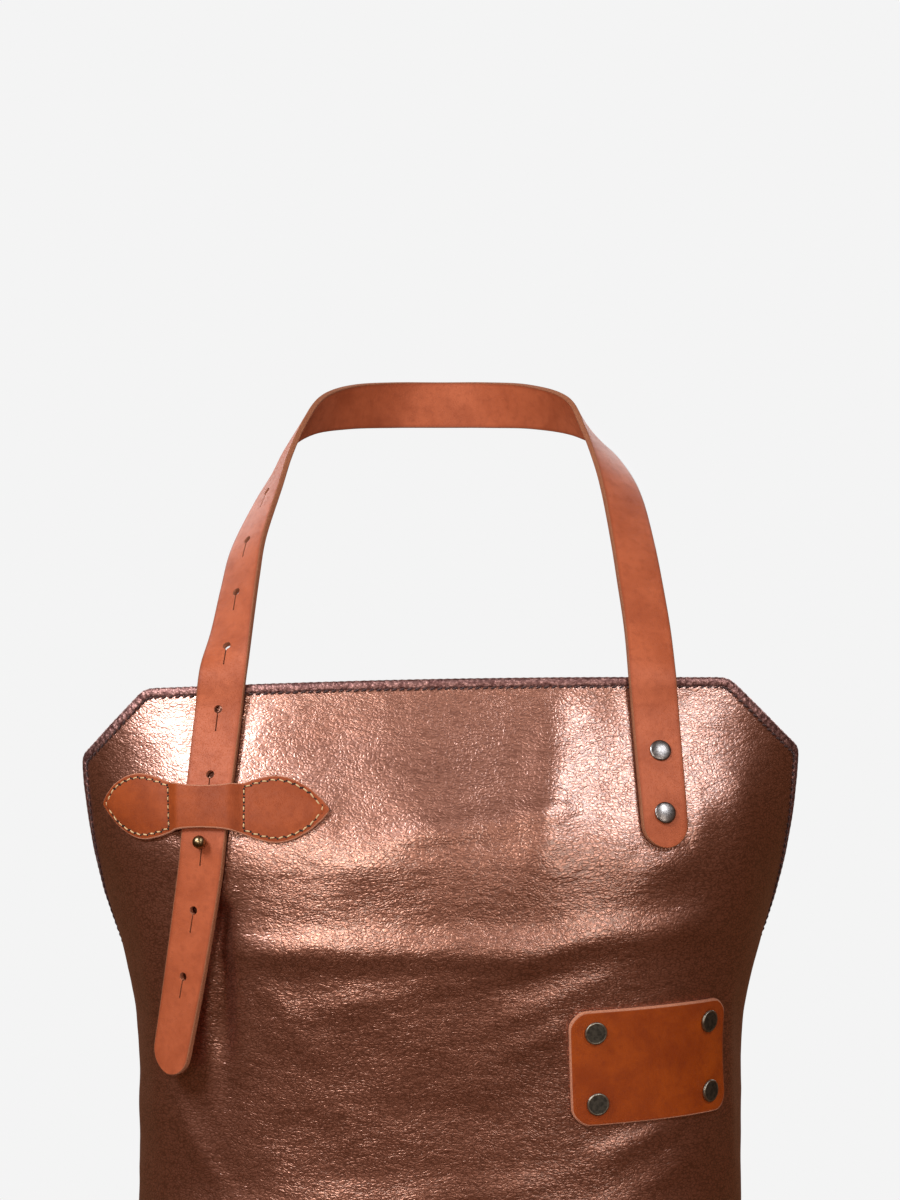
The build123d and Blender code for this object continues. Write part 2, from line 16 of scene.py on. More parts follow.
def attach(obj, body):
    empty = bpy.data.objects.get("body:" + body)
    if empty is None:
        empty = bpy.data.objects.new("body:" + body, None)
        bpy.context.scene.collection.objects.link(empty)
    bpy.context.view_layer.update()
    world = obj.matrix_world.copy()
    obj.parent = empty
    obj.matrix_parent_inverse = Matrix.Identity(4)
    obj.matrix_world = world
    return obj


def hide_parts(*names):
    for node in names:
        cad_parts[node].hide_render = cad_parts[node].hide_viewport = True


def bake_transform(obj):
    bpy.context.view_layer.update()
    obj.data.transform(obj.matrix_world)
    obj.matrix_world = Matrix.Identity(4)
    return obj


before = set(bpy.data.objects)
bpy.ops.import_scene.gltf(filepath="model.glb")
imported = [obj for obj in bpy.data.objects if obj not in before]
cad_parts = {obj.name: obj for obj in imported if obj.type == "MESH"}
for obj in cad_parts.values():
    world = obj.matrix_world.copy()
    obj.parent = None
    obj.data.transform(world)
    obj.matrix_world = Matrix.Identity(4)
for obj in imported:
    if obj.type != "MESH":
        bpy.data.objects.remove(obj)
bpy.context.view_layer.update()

MM = 0.001

# The torso form
WAIST_HALF_WIDTH = 163.0
CHEST_EXTRA_WIDTH = 44.0
SKIRT_EXTRA_WIDTH = 20.0
WAIST_HALF_DEPTH = 105.0
CHEST_EXTRA_DEPTH = 16.0
NECKLINE_SETBACK = 38.0
SKIRT_EXTRA_DEPTH = 26.0
FORM_CENTRE_Y = -85.0
SQUARENESS = 0.03
LAST_TURN = 4.6
TURN_STEPS = 230

# Panel and edge
BIB_TOP_Z = -147.0
HEM_Z = -977.0
BIB_TOP_HALF = 155.0
CHAMFER_RUN = 31.0
CHAMFER_DROP = 32.0
TOP_ARCH = 3.0
BIB_ROLL = math.radians(1.1)
BIB_SHIFT = -2.0
CHEST_FLAT_HALF = 205.0
SKIRT_FLAT_HALF = 305.0
PANEL_THICKNESS = 1.4
PANEL_INSET = 3.4
STITCH_PITCH = 4.0
STITCH_INSET = 5.35
HEM_FLUTE = 8.5

# Straps
STRAP_WIDTH = 25.4
STRAP_THICKNESS = 3.0
EDGE_ROUND = 0.7
FACE_CROWN = 0.12
LEFT_STRAP_GAP = 1.3
RIGHT_STRAP_GAP = 0.9
STUD_X, STUD_Z = -122.4, -229.0
LEFT_SLOPE = 0.1
HOLE_PITCH = 36.0
HOLE_RADIUS = 2.25
SLIT_LENGTH = 9.0
SLIT_WIDTH = 0.7
TAIL_BEND_DROP = 16.5
TAIL_TIP_DROP = 122.0
TAIL_LIFT = 9.0
RIGHT_END_X, RIGHT_END_Z = 116.4, -219.0
RIGHT_SLOPE = -0.07
STRAP_RIVETS = [(114.4, -182.9), (116.2, -214.2)]
NECK_FOLD = [(0, -168, -158), (0, -168, -139)]

# Keeper
KEEPER_X, KEEPER_Z = -121.8, -211.5
KEEPER_HALF_LENGTH = 66.0
KEEPER_THICKNESS = 2.0
KEEPER_GAP = 0.45
KEEPER_BRIDGE_RISE = 4.9
KEEPER_SEAM = 21.0
KEEPER_STITCH_PITCH = 4.6
KEEPER_STITCH_INSET = 2.5
KEEPER_STITCH_END = 62.6

# Patch
PATCH_X, PATCH_Z = 113.0, -345.0
PATCH_WIDTH, PATCH_HEIGHT = 97.0, 61.0
PATCH_THICKNESS = 2.4
PATCH_TILT = math.radians(2.0)
PATCH_CORNER = 9.0
PATCH_GAP = 0.25
PATCH_RIVETS = [(x, y) for x in (-34.5, 34.5) for y in (-19, 19)]

# Metal
CAP_RADIUS = 5.7
CAP_HEIGHT = 1.7
CAP_RIM = 0.55
PATCH_CAP_RADIUS = 6.0
BALL_RADIUS = 3.5
NECK_RADIUS = 1.9
FLANGE_HEIGHT = 0.9

# Waist belt
BELT_Z = -437.0
BELT_ANCHOR_OVERLAP = 52.0
BELT_RIVET_INSETS = (14.0, 40.0)
BELT_GAP = 0.6
BELT_STUD_PAST_MIDDLE = 10.0
BELT_END_PAST_STUD = 20.0
BELT_SEAM_PAST_MIDDLE = 62.0
BELT_TAIL_BEND = 16.5
BELT_TAIL_LENGTH = 120.0
BELT_TAIL_LIFT = 4.0
BELT_OVER = 4.5
BELT_CLEAR_HOLE = 4.2


# ---- the form
def ease(value, low, high):
    """0 below low, 1 above high, and a smooth rise between them."""
    share = np.clip((np.asarray(value, float) - low) / (high - low), 0.0, 1.0)
    return share * share * (3 - 2 * share)


def unit(rows):
    return rows / np.linalg.norm(rows, axis=-1, keepdims=True)


def turned(x, y, angle):
    """Places turned about the origin, counterclockwise."""
    c, s = math.cos(angle), math.sin(angle)
    return x * c - y * s, x * s + y * c


def half_width(z):
    chest = CHEST_EXTRA_WIDTH * ease(z, -350, -150)
    return WAIST_HALF_WIDTH + chest + SKIRT_EXTRA_WIDTH * ease(-z, 450, 900)


def half_depth(z):
    chest = CHEST_EXTRA_DEPTH * ease(z, -420, -270)
    neckline = NECKLINE_SETBACK * ease(z, -245, -135)
    return WAIST_HALF_DEPTH + chest - neckline + SKIRT_EXTRA_DEPTH * ease(-z, 450, 760)


def flat_half(z):
    """Half width of the flat panel at height z, measured along the leather."""
    return CHEST_FLAT_HALF + (SKIRT_FLAT_HALF - CHEST_FLAT_HALF) * ease(-z, 160, 450)


def form_xy(turn, z):
    across = (np.sin(turn) + SQUARENESS * np.sin(3 * turn)) / (1 - SQUARENESS)
    ahead = (np.cos(turn) - SQUARENESS * np.cos(3 * turn)) / (1 - SQUARENESS)
    return half_width(z) * across, FORM_CENTRE_Y - half_depth(z) * ahead


def form_slope(turn, z):
    dx = half_width(z) * (np.cos(turn) + 3 * SQUARENESS * np.cos(3 * turn))
    dy = half_depth(z) * (np.sin(turn) - 3 * SQUARENESS * np.sin(3 * turn))
    return dx / (1 - SQUARENESS), dy / (1 - SQUARENESS)


def normal_at(turn, z):
    """Unit normal of the form, pointing away from the wearer."""
    dx, dy = form_slope(turn, z)
    (x0, y0), (x1, y1) = form_xy(turn, z - 1), form_xy(turn, z + 1)
    return unit(np.stack([dy, -dx, dx * (y1 - y0) / 2 - dy * (x1 - x0) / 2], axis=-1))


def arc_table(z):
    """For each height, the distances along the section at evenly spaced turns."""
    turns = np.linspace(0, LAST_TURN, TURN_STEPS + 1)
    middles = (turns[1:] + turns[:-1]) / 2
    dx, dy = form_slope(middles[None, :], z[:, None])
    run = np.cumsum(np.hypot(dx, dy) * (turns[1] - turns[0]), axis=1)
    return turns, np.concatenate([np.zeros((len(z), 1)), run], axis=1)


def pairs(first, second):
    return np.broadcast_arrays(np.atleast_1d(np.asarray(first, float)), np.asarray(second, float))


def turn_at_arc(arc, z):
    """The turn at a distance along the section from the front middle."""
    arc, z = pairs(arc, z)
    turns, run = arc_table(z)
    return np.copysign([np.interp(abs(a), row, turns) for a, row in zip(arc, run)], arc)


def arc_at_x(x, z):
    """The arc on the front half where the section has this x."""
    x, z = pairs(x, z)
    front = np.linspace(-math.pi / 2, math.pi / 2, 2001)
    turn = np.array([np.interp(a, form_xy(front, h)[0], front) for a, h in zip(x, z)])
    turns, run = arc_table(z)
    return np.copysign([np.interp(abs(t), turns, row) for t, row in zip(turn, run)], turn)


def form_point(arc, z, out=0.0):
    """Points over the bare form at arcs and heights, moved out along its normal."""
    turn = turn_at_arc(arc, z)
    x, y = form_xy(turn, z)
    z = np.broadcast_to(np.asarray(z, float), x.shape)
    return np.stack([x, y, z], axis=-1) + normal_at(turn, z) * np.asarray(out, float)[..., None]


def seat(arc, z, out=0.0):
    """One place over the bare form, and the form's normal there."""
    return form_point(arc, z, out)[0], normal_at(turn_at_arc(arc, z)[0], z)


KEEPER_ARC = arc_at_x(KEEPER_X, KEEPER_Z)[0]
PATCH_ARC = arc_at_x(PATCH_X, PATCH_Z)[0]
NECK_STUD_ARC = arc_at_x(STUD_X, STUD_Z)[0]
NECK_END_ARC = arc_at_x(RIGHT_END_X, RIGHT_END_Z)[0]


# ---- the leather's relief
def wander(arc, z, size, seed, stretch=1.0):
    """Smooth seeded noise from -1 to 1 whose lumps are about size wide."""
    places = zip(arc / (size * stretch), z / size)
    return np.array([noise.noise(Vector((a, h, seed))) for a, h in places])


def lip(arc, off, swell, fall, left, right, fade):
    """A fold that swells down to the line where off is 0 and drops away sharply under it."""
    shape = np.exp(-((off / np.where(off > 0, swell, fall)) ** 2))
    ends = ease(arc, left - fade, left + fade) * (1 - ease(arc, right - fade, right + fade))
    return shape * ends


def ridge(arc, z, start, end, width):
    """A soft straight fold from start to end, both given as (arc, z)."""
    (a0, z0), (a1, z1) = start, end
    length = math.hypot(a1 - a0, z1 - z0)
    ua, uz = (a1 - a0) / length, (z1 - z0) / length
    along = ((arc - a0) * ua + (z - z0) * uz) / length
    off = (z - z0) * ua - (arc - a0) * uz
    return np.exp(-((off / width) ** 2)) * ease(along, -0.25, 0.3) * (1 - ease(along, 0.7, 1.25))


def inside_box(arc, z, centre, half_arc, half_z, tilt):
    """1 inside a rectangle on the panel and 0 from 9 mm outside it."""
    along, across = turned(arc - centre[0], z - centre[1], -tilt)
    return 1 - ease(np.maximum(np.abs(along) - half_arc, np.abs(across) - half_z), 0, 9.0)


# Straight folds: start, end, width, height
FOLDS = [
    ((64, -150), (52, -240), 15, 2.6),
    ((20, -172), (-24, -262), 26, 1.0),
    ((150, -205), (96, -262), 15, 1.1),
    ((158, -190), (176, -262), 12, 1.3),
    ((22, -324), (84, -300), 5.5, 0.9),
    ((34, -338), (70, -324), 4.5, 0.6),
    ((-98, -300), (-72, -322), 6.0, 0.9),
    ((-92, -322), (-52, -344), 7.0, 0.8),
    ((-119, -232), (-117, -352), 7.5, -4.6),
    ((84, -396), (142, -368), 8.0, 1.7),
    ((96, -418), (165, -382), 9.0, 1.3),
    ((172, -300), (178, -410), 11, 1.8),
    ((-152, -366), (-118, -412), 6.5, 1.4),
    ((-172, -250), (-168, -400), 14, 1.6),
    ((-60, -372), (30, -398), 16, 1.0),
    ((-40, -420), (60, -408), 9, 0.9),
    ((-190, -452), (-120, -446), 9, 1.3),
    ((205, -452), (130, -447), 9, 1.3),
]

# Rectangles of the panel that something lies on, which stay calm: centre, half arc, half z, tilt
ATTACHMENTS = [
    ((KEEPER_ARC, KEEPER_Z), 64.0, 13.0, 0.0),
    ((PATCH_ARC, PATCH_Z), PATCH_WIDTH / 2 - 1, PATCH_HEIGHT / 2 - 1, PATCH_TILT),
    ((NECK_STUD_ARC + 6, -196.0), 13.0, 60.0, -0.08),
    ((NECK_END_ARC - 3, -190.0), 13.0, 42.0, 0.06),
]


def relief(arc, z):
    """How far the leather stands out from the form, from its folds, sag and soft lumps."""
    arc, z = (np.array(v, float).ravel() for v in np.broadcast_arrays(arc, z))
    level = np.zeros_like(arc)
    crease = -284.5 + 8.5 * ease(arc, 40, 100) + 4 * ease(arc, 100, 150) + wander(arc, level, 34, 3.0)
    band = -226 + 0.15 * (arc + 25) + 1.5 * wander(arc, level, 22, 8.0)
    second = -303 + 0.2 * arc + 2.0 * wander(arc, level, 30, 12.0)
    out = 3.4 * lip(arc, z - crease, 10, 10, -112, 150, 26)
    out += 2.0 * lip(arc, z - band, 9, 5, -20, 66, 18)
    out += 0.8 * lip(arc, z - second, 10, 4, -70, 60, 24)
    for start, end, width, height in FOLDS:
        out += height * ridge(arc, z, start, end, width)
    out += 0.9 * wander(arc, z, 62, 20.0, 1.4)
    out += 0.8 * wander(arc, z, 25, 31.0, 1.5)
    out += 0.17 * wander(arc, z, 9.5, 47.0, 1.7)
    for attachment in ATTACHMENTS:
        out *= 1 - 0.9 * inside_box(arc, z, *attachment)
    out *= 0.35 + 0.65 * ease(flat_half(z) - np.abs(arc), 0, 26)
    sway = np.sin(arc / 47.0 + 0.7 * np.sin(arc / 120.0) + 0.4) * (0.6 + 0.4 * np.cos(arc / 93.0))
    return out + (HEM_FLUTE * sway - 2.0) * ease(-z, 500, 977)


def on_panel(arc, z, out=0.0):
    """Points over the panel's outer face."""
    return form_point(arc, z, relief(arc, z) + np.asarray(out, float))


# ---- meshes
def set_flat(mesh, places):
    """Flat places of the points, in millimetres, as the UV map that the grain follows."""
    corners = np.zeros(len(mesh.loops), np.int32)
    mesh.loops.foreach_get("vertex_index", corners)
    layer = mesh.uv_layers.new(name="flat")
    layer.data.foreach_set("uv", (np.asarray(places, float)[corners] * MM).ravel())


def put(name, data):
    """A new object in the scene."""
    made = bpy.data.objects.new(name, data)
    bpy.context.scene.collection.objects.link(made)
    return made


def settle(mesh, sharp):
    mesh.shade_smooth()
    mesh.set_sharp_from_angle(angle=math.radians(sharp))
    mesh.validate()


def build(name, points, faces, materials, indexes=None, flat=None, sharp=40):
    """A smooth-shaded mesh object from millimetre points."""
    mesh = bpy.data.meshes.new(name)
    mesh.from_pydata((np.asarray(points, float) * MM).tolist(), [], faces)
    piece = put(name, mesh)
    for material in materials:
        mesh.materials.append(material)
    if indexes is not None:
        mesh.polygons.foreach_set("material_index", np.asarray(indexes, np.int32))
    if flat is not None:
        set_flat(mesh, flat)
    settle(mesh, sharp)
    return piece


def fit(piece, slot, *nodes, body="apron"):
    """Ties a rigid piece to its body and hides the CAD nodes that it stands for; slot, its finish, is
    not used.
    """
    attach(piece, body)
    if nodes:
        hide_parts(*nodes)


def grid_faces(rows, columns, closed=False, ring=False):
    """Quads of points numbered row by row; closed joins the columns' ends, ring the rows'."""
    faces = []
    for r in range(rows if ring else rows - 1):
        here, there = r * columns, (r + 1) % rows * columns
        for c in range(columns if closed else columns - 1):
            d = (c + 1) % columns
            faces.append((here + c, here + d, there + d, there + c))
    return faces


def tube_faces(rows, columns):
    """Quads round a tube, and then its two end caps."""
    caps = [tuple(range(columns))[::-1], tuple(range(columns * (rows - 1), columns * rows))]
    return grid_faces(rows, columns, closed=True) + caps


def flipped(faces):
    return [face[::-1] for face in faces]


def circle(count):
    """Cosines and sines of count even angles, as columns."""
    angles = np.arange(count)[:, None] * 2 * math.pi / count
    return np.cos(angles), np.sin(angles)


class Meshes:
    """Collects many small closed shapes into one mesh."""

    def __init__(self):
        self.points, self.faces, self.indexes, self.count = [], [], [], 0

    def add(self, points, faces, index=0):
        self.points.append(np.asarray(points, float))
        self.faces += [tuple(i + self.count for i in f) for f in faces]
        self.indexes += [index] * len(faces)
        self.count += len(points)

    def build(self, name, materials, sharp=50):
        points = np.concatenate(self.points)
        return build(name, points, self.faces, materials, self.indexes, sharp=sharp)


THREAD_SIDES = 6
THREAD_TAPER = (0.35, 0.85, 1.0, 0.85, 0.35)
# A small flat disc, sunk a little, that carries the painted shade of a needle hole: (radius, height)
# pairs.
NEEDLE_HOLE_SHADE_DISC = [(0.62, -0.4), (0.62, 0.0), (0.0, 0.06)]


def thread(meshes, spine, normal, radius):
    """One stitch: a short plump thread along a spine of five points."""
    side = unit(np.cross(normal, spine[-1] - spine[0]))
    cosines, sines = circle(THREAD_SIDES)
    ring = cosines * side + sines * normal
    points = np.concatenate([p + ring * radius * t for p, t in zip(spine, THREAD_TAPER)])
    meshes.add(points, tube_faces(len(spine), THREAD_SIDES))


def lathe(meshes, origin, normal, profile, index=0, sides=40, ahead=(0.0, 0.0, 1.0), oval=1.0):
    """A turned shape: profile holds (radius, height) pairs from its foot to its top middle."""
    side = unit(np.cross(normal, ahead))
    cosines, sines = circle(sides)
    ring = cosines * side + sines * np.cross(normal, side) * oval
    rings = [origin + ring * r + normal * h for r, h in profile[:-1]]
    points = np.concatenate([*rings, [origin + normal * profile[-1][1]]])
    faces = tube_faces(len(rings), sides)
    top = faces.pop()
    faces += [(a, b, len(points) - 1) for a, b in zip(top, top[1:] + top[:1])]
    meshes.add(points, faces, index)


# ---- materials
class Shader:
    """A material and short calls that add nodes to it, at a place in millimetres."""

    def __init__(self, name, flat=False):
        self.material = bpy.data.materials.new(name)
        self.material.use_nodes = True
        self.tree = self.material.node_tree
        self.bsdf = self.tree.nodes["Principled BSDF"]
        if flat:
            place = self.node("ShaderNodeUVMap", {"uv_map": "flat"}).outputs["UV"]
        else:
            place = self.node("ShaderNodeTexCoord").outputs["Object"]
        self.place = self.stretched((1 / MM,) * 3, place=place)

    def set(self, socket, value):
        if isinstance(value, bpy.types.NodeSocket):
            self.tree.links.new(value, socket)
        else:
            socket.default_value = (*value, 1.0) if socket.type == "RGBA" else value

    def node(self, kind, settings=None, **inputs):
        """A node with its settings, and its inputs by name or as _0, _1 and so on."""
        made = self.tree.nodes.new(kind)
        for key, value in (settings or {}).items():
            setattr(made, key, value)
        for key, value in inputs.items():
            self.set(made.inputs[int(key[1:]) if key[0] == "_" else key.replace("_", " ")], value)
        return made

    def stretched(self, scale, turn=0.0, place=None):
        place = self.place if place is None else place
        made = self.node("ShaderNodeMapping", Vector=place, Rotation=(0, 0, turn), Scale=scale)
        return made.outputs["Vector"]

    def noise(self, size, detail=2.0, roughness=0.5, distortion=0.0, place=None, output=0):
        return self.node(
            "ShaderNodeTexNoise", Vector=self.place if place is None else place,
            Scale=1.0 / size, Detail=detail, Roughness=roughness, Distortion=distortion,
        ).outputs[output]

    def cells(self, size, feature="F1", place=None):
        return self.node(
            "ShaderNodeTexVoronoi", {"feature": feature}, Scale=1.0 / size,
            Vector=self.place if place is None else place,
        ).outputs["Distance"]

    def math(self, operation, a, b=0.0):
        return self.node("ShaderNodeMath", {"operation": operation}, _0=a, _1=b).outputs[0]

    def times(self, a, b):
        return self.math("MULTIPLY", a, b)

    def plus(self, a, b):
        return self.math("ADD", a, b)

    def vector(self, operation, a, b=(0, 0, 0)):
        return self.node("ShaderNodeVectorMath", {"operation": operation}, _0=a, _1=b).outputs

    def spread(self, value, low, high, to_low=0.0, to_high=1.0):
        """Maps low to to_low and high to to_high, held at both ends."""
        return self.node(
            "ShaderNodeMapRange", {"interpolation_type": "SMOOTHSTEP"},
            _0=value, _1=low, _2=high, _3=to_low, _4=to_high,
        ).outputs[0]

    def colours(self, share, first, second):
        settings = {"data_type": "RGBA"}
        return self.node("ShaderNodeMix", settings, _0=share, _6=first, _7=second).outputs[2]

    def stain(self, colour, other, amount, value, low, high):
        """Lays up to amount of other over colour as value goes from low to high."""
        return self.colours(self.spread(value, low, high, 0.0, amount), colour, other)

    def shift(self, place, size, detail, amount):
        """A place moved about by noise, for a wandering grain."""
        by = self.noise(size, detail, output="Color")
        by = self.vector("MULTIPLY", self.vector("SUBTRACT", by, (0.5,) * 3)[0], (amount,) * 3)[0]
        return self.vector("ADD", place, by)[0]

    def bump(self, height, depth, under=None):
        """Height from 0 to 1 over a depth in millimetres."""
        more = {} if under is None else {"Normal": under}
        made = self.node("ShaderNodeBump", Height=height, Distance=depth * MM, Strength=1.0, **more)
        return made.outputs["Normal"]

    def finish(self, **inputs):
        for key, value in inputs.items():
            self.set(self.bsdf.inputs[key.replace("_", " ")], value)
        return self.material


def grain_height(s, size):
    """Flat-lying pebbles between thin furrows, with fine wrinkles running across."""
    moved = s.shift(s.shift(s.place, 24.0, 1.0, 9.0), 3.2, 2.0, 1.5)
    wide = s.stretched((0.58, 1.0, 1.0), -0.12, moved)
    thin = s.stretched((0.30, 1.0, 1.0), 0.10, moved)
    slack = s.stretched((0.42, 1.0, 1.0), -0.3, moved)
    pebble = s.spread(s.cells(size, "DISTANCE_TO_EDGE", wide), 0.0, 0.30)
    small = s.spread(s.cells(size * 0.45, place=wide), 0.1, 0.75, 1.0, 0.0)
    furrow = s.math("SUBTRACT", s.noise(2.1, 2.0, 0.55, place=thin), 0.5)
    wrinkle = s.spread(s.math("ABSOLUTE", furrow), 0.0, 0.09)
    height = s.plus(s.plus(s.times(pebble, 0.58), s.times(small, 0.10)), s.times(wrinkle, 0.32))
    return height, s.noise(4.2, 1.0, place=slack)


def foil_leather():
    """Soft leather with a rose bronze foil: bright crests over furrows painted a darker brown as
    shade.
    """
    s = Shader("foil_leather", flat=True)
    height, soft = grain_height(s, 1.55)
    broad = s.noise(52.0, 3.0)
    fine = s.noise(0.45, 2.0, 0.7)
    crest = s.colours(broad, (0.46, 0.174, 0.108), (0.56, 0.232, 0.152))
    # Painted shade: the grain's low places take this darker brown in place of the shade that falls in
    # the furrows.
    painted_furrow_shade = s.colours(broad, (0.20, 0.060, 0.030), (0.27, 0.086, 0.046))
    colour = s.colours(s.spread(height, 0.15, 0.70), painted_furrow_shade, crest)
    worn = s.noise(11.0, 4.0, 0.65)
    colour = s.stain(colour, (0.30, 0.105, 0.062), 0.20, worn, 0.55, 0.80)
    rough = s.plus(s.spread(height, 0.0, 0.9, 0.44, 0.33), s.times(fine, 0.04))
    normal = s.bump(fine, 0.004, s.bump(height, 0.11, s.bump(soft, 0.34)))
    return s.finish(
        Base_Color=colour, Metallic=0.9, Roughness=rough, Normal=normal,
        Coat_Weight=1.0, Coat_IOR=2.15, Coat_Roughness=0.30, Coat_Normal=normal,
    )


def suede():
    """The flesh side of the panel."""
    s = Shader("suede_inside", flat=True)
    nap = s.noise(0.8, 4.0, 0.7)
    cloud = s.noise(28.0, 4.0, 0.6)
    colour = s.colours(cloud, (0.165, 0.094, 0.062), (0.27, 0.165, 0.112))
    return s.finish(
        Base_Color=s.colours(s.times(nap, 0.5), colour, (0.36, 0.235, 0.165)), Roughness=0.95,
        Normal=s.bump(nap, 0.18), Sheen_Weight=0.35, Sheen_Roughness=0.6, Specular_IOR_Level=0.2,
    )


def edge_leather():
    """The turned edge: the same foil, pulled thin, darker and plum coloured."""
    s = Shader("edge_leather")
    lumps = s.noise(2.6, 3.0, 0.6)
    cells = s.spread(s.cells(1.5), 0.1, 0.7, 1.0, 0.0)
    colour = s.colours(s.spread(lumps, 0.3, 0.7), (0.17, 0.075, 0.072), (0.50, 0.28, 0.26))
    colour = s.stain(colour, (0.075, 0.026, 0.026), 0.5, cells, 0.5, 0.0)
    normal = s.bump(lumps, 0.35, s.bump(cells, 0.12))
    return s.finish(Base_Color=colour, Metallic=0.75, Roughness=0.46, Normal=normal)


def tanned(name, light, dark, deep, gloss=0.46, burnished=False):
    """Vegetable tanned leather: clouded, finely pored, and darker at a strap's rubbed edges."""
    s = Shader(name, flat=True)
    patchy = s.noise(5.0, 3.0, 0.6)
    pores = s.spread(s.cells(0.55), 0.05, 0.45)
    fibres = s.noise(1.0, 3.0, 0.6, place=s.stretched((1 / 0.9, 1 / 9.0, 1.0)))
    scuffs = s.noise(1.0, place=s.stretched((1 / 6.0, 1 / 0.8, 1.0)))
    colour = s.colours(s.spread(s.noise(24.0, 4.0, 0.6, 0.4), 0.32, 0.68), dark, light)
    colour = s.stain(colour, deep, 0.35, patchy, 0.45, 0.75)
    colour = s.stain(colour, deep, 0.45, pores, 0.6, 0.0)
    colour = s.stain(colour, light, 0.12, fibres, 0.55, 0.75)
    colour = s.stain(colour, deep, 0.16, scuffs, 0.66, 0.74)
    if burnished:
        across = s.node("ShaderNodeSeparateXYZ", Vector=s.place).outputs["X"]
        across, rim = s.math("ABSOLUTE", across), STRAP_WIDTH / 2
        colour = s.stain(colour, deep, 0.55, across, rim - 2.6, rim - 0.4)
    normal = s.bump(patchy, 0.12, s.bump(pores, 0.09))
    rough = s.plus(s.times(patchy, 0.16), gloss - 0.06)
    return s.finish(Base_Color=colour, Roughness=rough, Normal=normal, Specular_IOR_Level=0.32)


def cut_edge(name, light, dark):
    """The raw cut edge of thick leather: pale, fibrous and matt."""
    s = Shader(name)
    fibres = s.noise(0.5, 3.0, 0.7)
    colour = s.colours(s.spread(fibres, 0.3, 0.7), dark, light)
    colour = s.colours(s.times(s.noise(7.0), 0.5), colour, dark)
    normal = s.bump(fibres, 0.12)
    return s.finish(Base_Color=colour, Roughness=0.8, Normal=normal, Specular_IOR_Level=0.25)


def sewing_thread(name, light, dark):
    s = Shader(name)
    twist = s.noise(0.35)
    colour = s.colours(s.spread(twist, 0.3, 0.7), dark, light)
    return s.finish(Base_Color=colour, Roughness=0.62, Normal=s.bump(twist, 0.10), Sheen_Weight=0.2)


# Painted shade: a near-black colour for the discs that stand for needle holes, in place of the shade
# inside a hole.
def needle_hole_shade():
    s = Shader("needle_hole_shade")
    colour = s.colours(s.noise(0.4), (0.012, 0.006, 0.004), (0.035, 0.015, 0.009))
    return s.finish(Base_Color=colour, Roughness=0.9)


def metal(name, light, dark, roughness, smear=0.12, depth=0.02):
    """Plated metal with faint brushing, tarnish and small dents."""
    s = Shader(name)
    tarnish = s.noise(2.2, 4.0, 0.6)
    brushing = s.noise(0.8, 3.0, place=s.stretched((0.3, 3.0, 3.0)))
    colour = s.colours(s.spread(tarnish, 0.38, 0.66), light, dark)
    rough = s.plus(s.times(brushing, smear), roughness)
    normal = s.bump(tarnish, depth * 2, s.bump(brushing, depth))
    return s.finish(Base_Color=colour, Metallic=1.0, Roughness=rough, Normal=normal)


FOIL = foil_leather()
SUEDE = suede()
EDGE = edge_leather()
DARK_THREAD = sewing_thread("dark_thread", (0.075, 0.028, 0.030), (0.020, 0.008, 0.010))
CREAM_THREAD = sewing_thread("cream_thread", (0.80, 0.60, 0.33), (0.52, 0.34, 0.16))
HOLE_SHADE = needle_hole_shade()
TAN = tanned(
    "tan_leather", (0.50, 0.125, 0.050), (0.39, 0.088, 0.032), (0.26, 0.050, 0.017), 0.50,
    burnished=True,
)
KEEPER_TAN = tanned(
    "keeper_leather", (0.36, 0.070, 0.013), (0.27, 0.048, 0.008), (0.19, 0.029, 0.005), 0.58
)
PATCH_TAN = tanned(
    "patch_leather", (0.38, 0.066, 0.003), (0.28, 0.042, 0.002), (0.20, 0.026, 0.002)
)
PALE_EDGE = cut_edge("pale_cut_edge", (0.62, 0.30, 0.19), (0.36, 0.13, 0.075))
BROWN_EDGE = cut_edge("brown_cut_edge", (0.42, 0.17, 0.085), (0.20, 0.065, 0.032))
NICKEL = metal("polished_nickel", (0.34, 0.33, 0.335), (0.19, 0.185, 0.19), 0.26)
PEWTER = metal("dark_pewter", (0.17, 0.17, 0.148), (0.085, 0.088, 0.078), 0.50)
RIM = metal("rubbed_pewter", (0.42, 0.41, 0.36), (0.24, 0.235, 0.20), 0.38)
BRASS = metal("antique_brass", (0.42, 0.33, 0.19), (0.16, 0.115, 0.062), 0.2, 0.2, 0.05)


# ---- outline of the panel
def top_outline():
    """The bib's cut corners and arched top as arcs and heights, left side to right side."""
    slope = CHAMFER_DROP / CHAMFER_RUN
    reach = np.linspace(0, 52, 53)[1:]
    across = np.linspace(-BIB_TOP_HALF, BIB_TOP_HALF, 311)
    arch = TOP_ARCH * (1 - (across / BIB_TOP_HALF) ** 2)
    u = np.concatenate([-BIB_TOP_HALF - reach[::-1], across, BIB_TOP_HALF + reach])
    v = np.concatenate([-reach[::-1] * slope, arch, -reach * slope])
    x, z = turned(u, v, BIB_ROLL)
    z = z + BIB_TOP_Z
    arc = arc_at_x(x + BIB_SHIFT, z)
    inside = np.abs(arc) < flat_half(z)
    return arc[inside], z[inside]


TOP_ARC, TOP_Z = top_outline()


def lengths(path):
    """Distances of a path's points from its start, along it."""
    return np.concatenate([[0], np.cumsum(np.linalg.norm(np.diff(path, axis=0), axis=1))])


def even_spacing(path, step):
    """A closed path's points at even spacing."""
    closed = np.concatenate([path, path[:1]])
    run = lengths(closed)
    count = round(run[-1] / step / 4) * 4
    at = np.arange(count) * run[-1] / count
    return np.stack([np.interp(at, run, closed[:, 0]), np.interp(at, run, closed[:, 1])], axis=1)


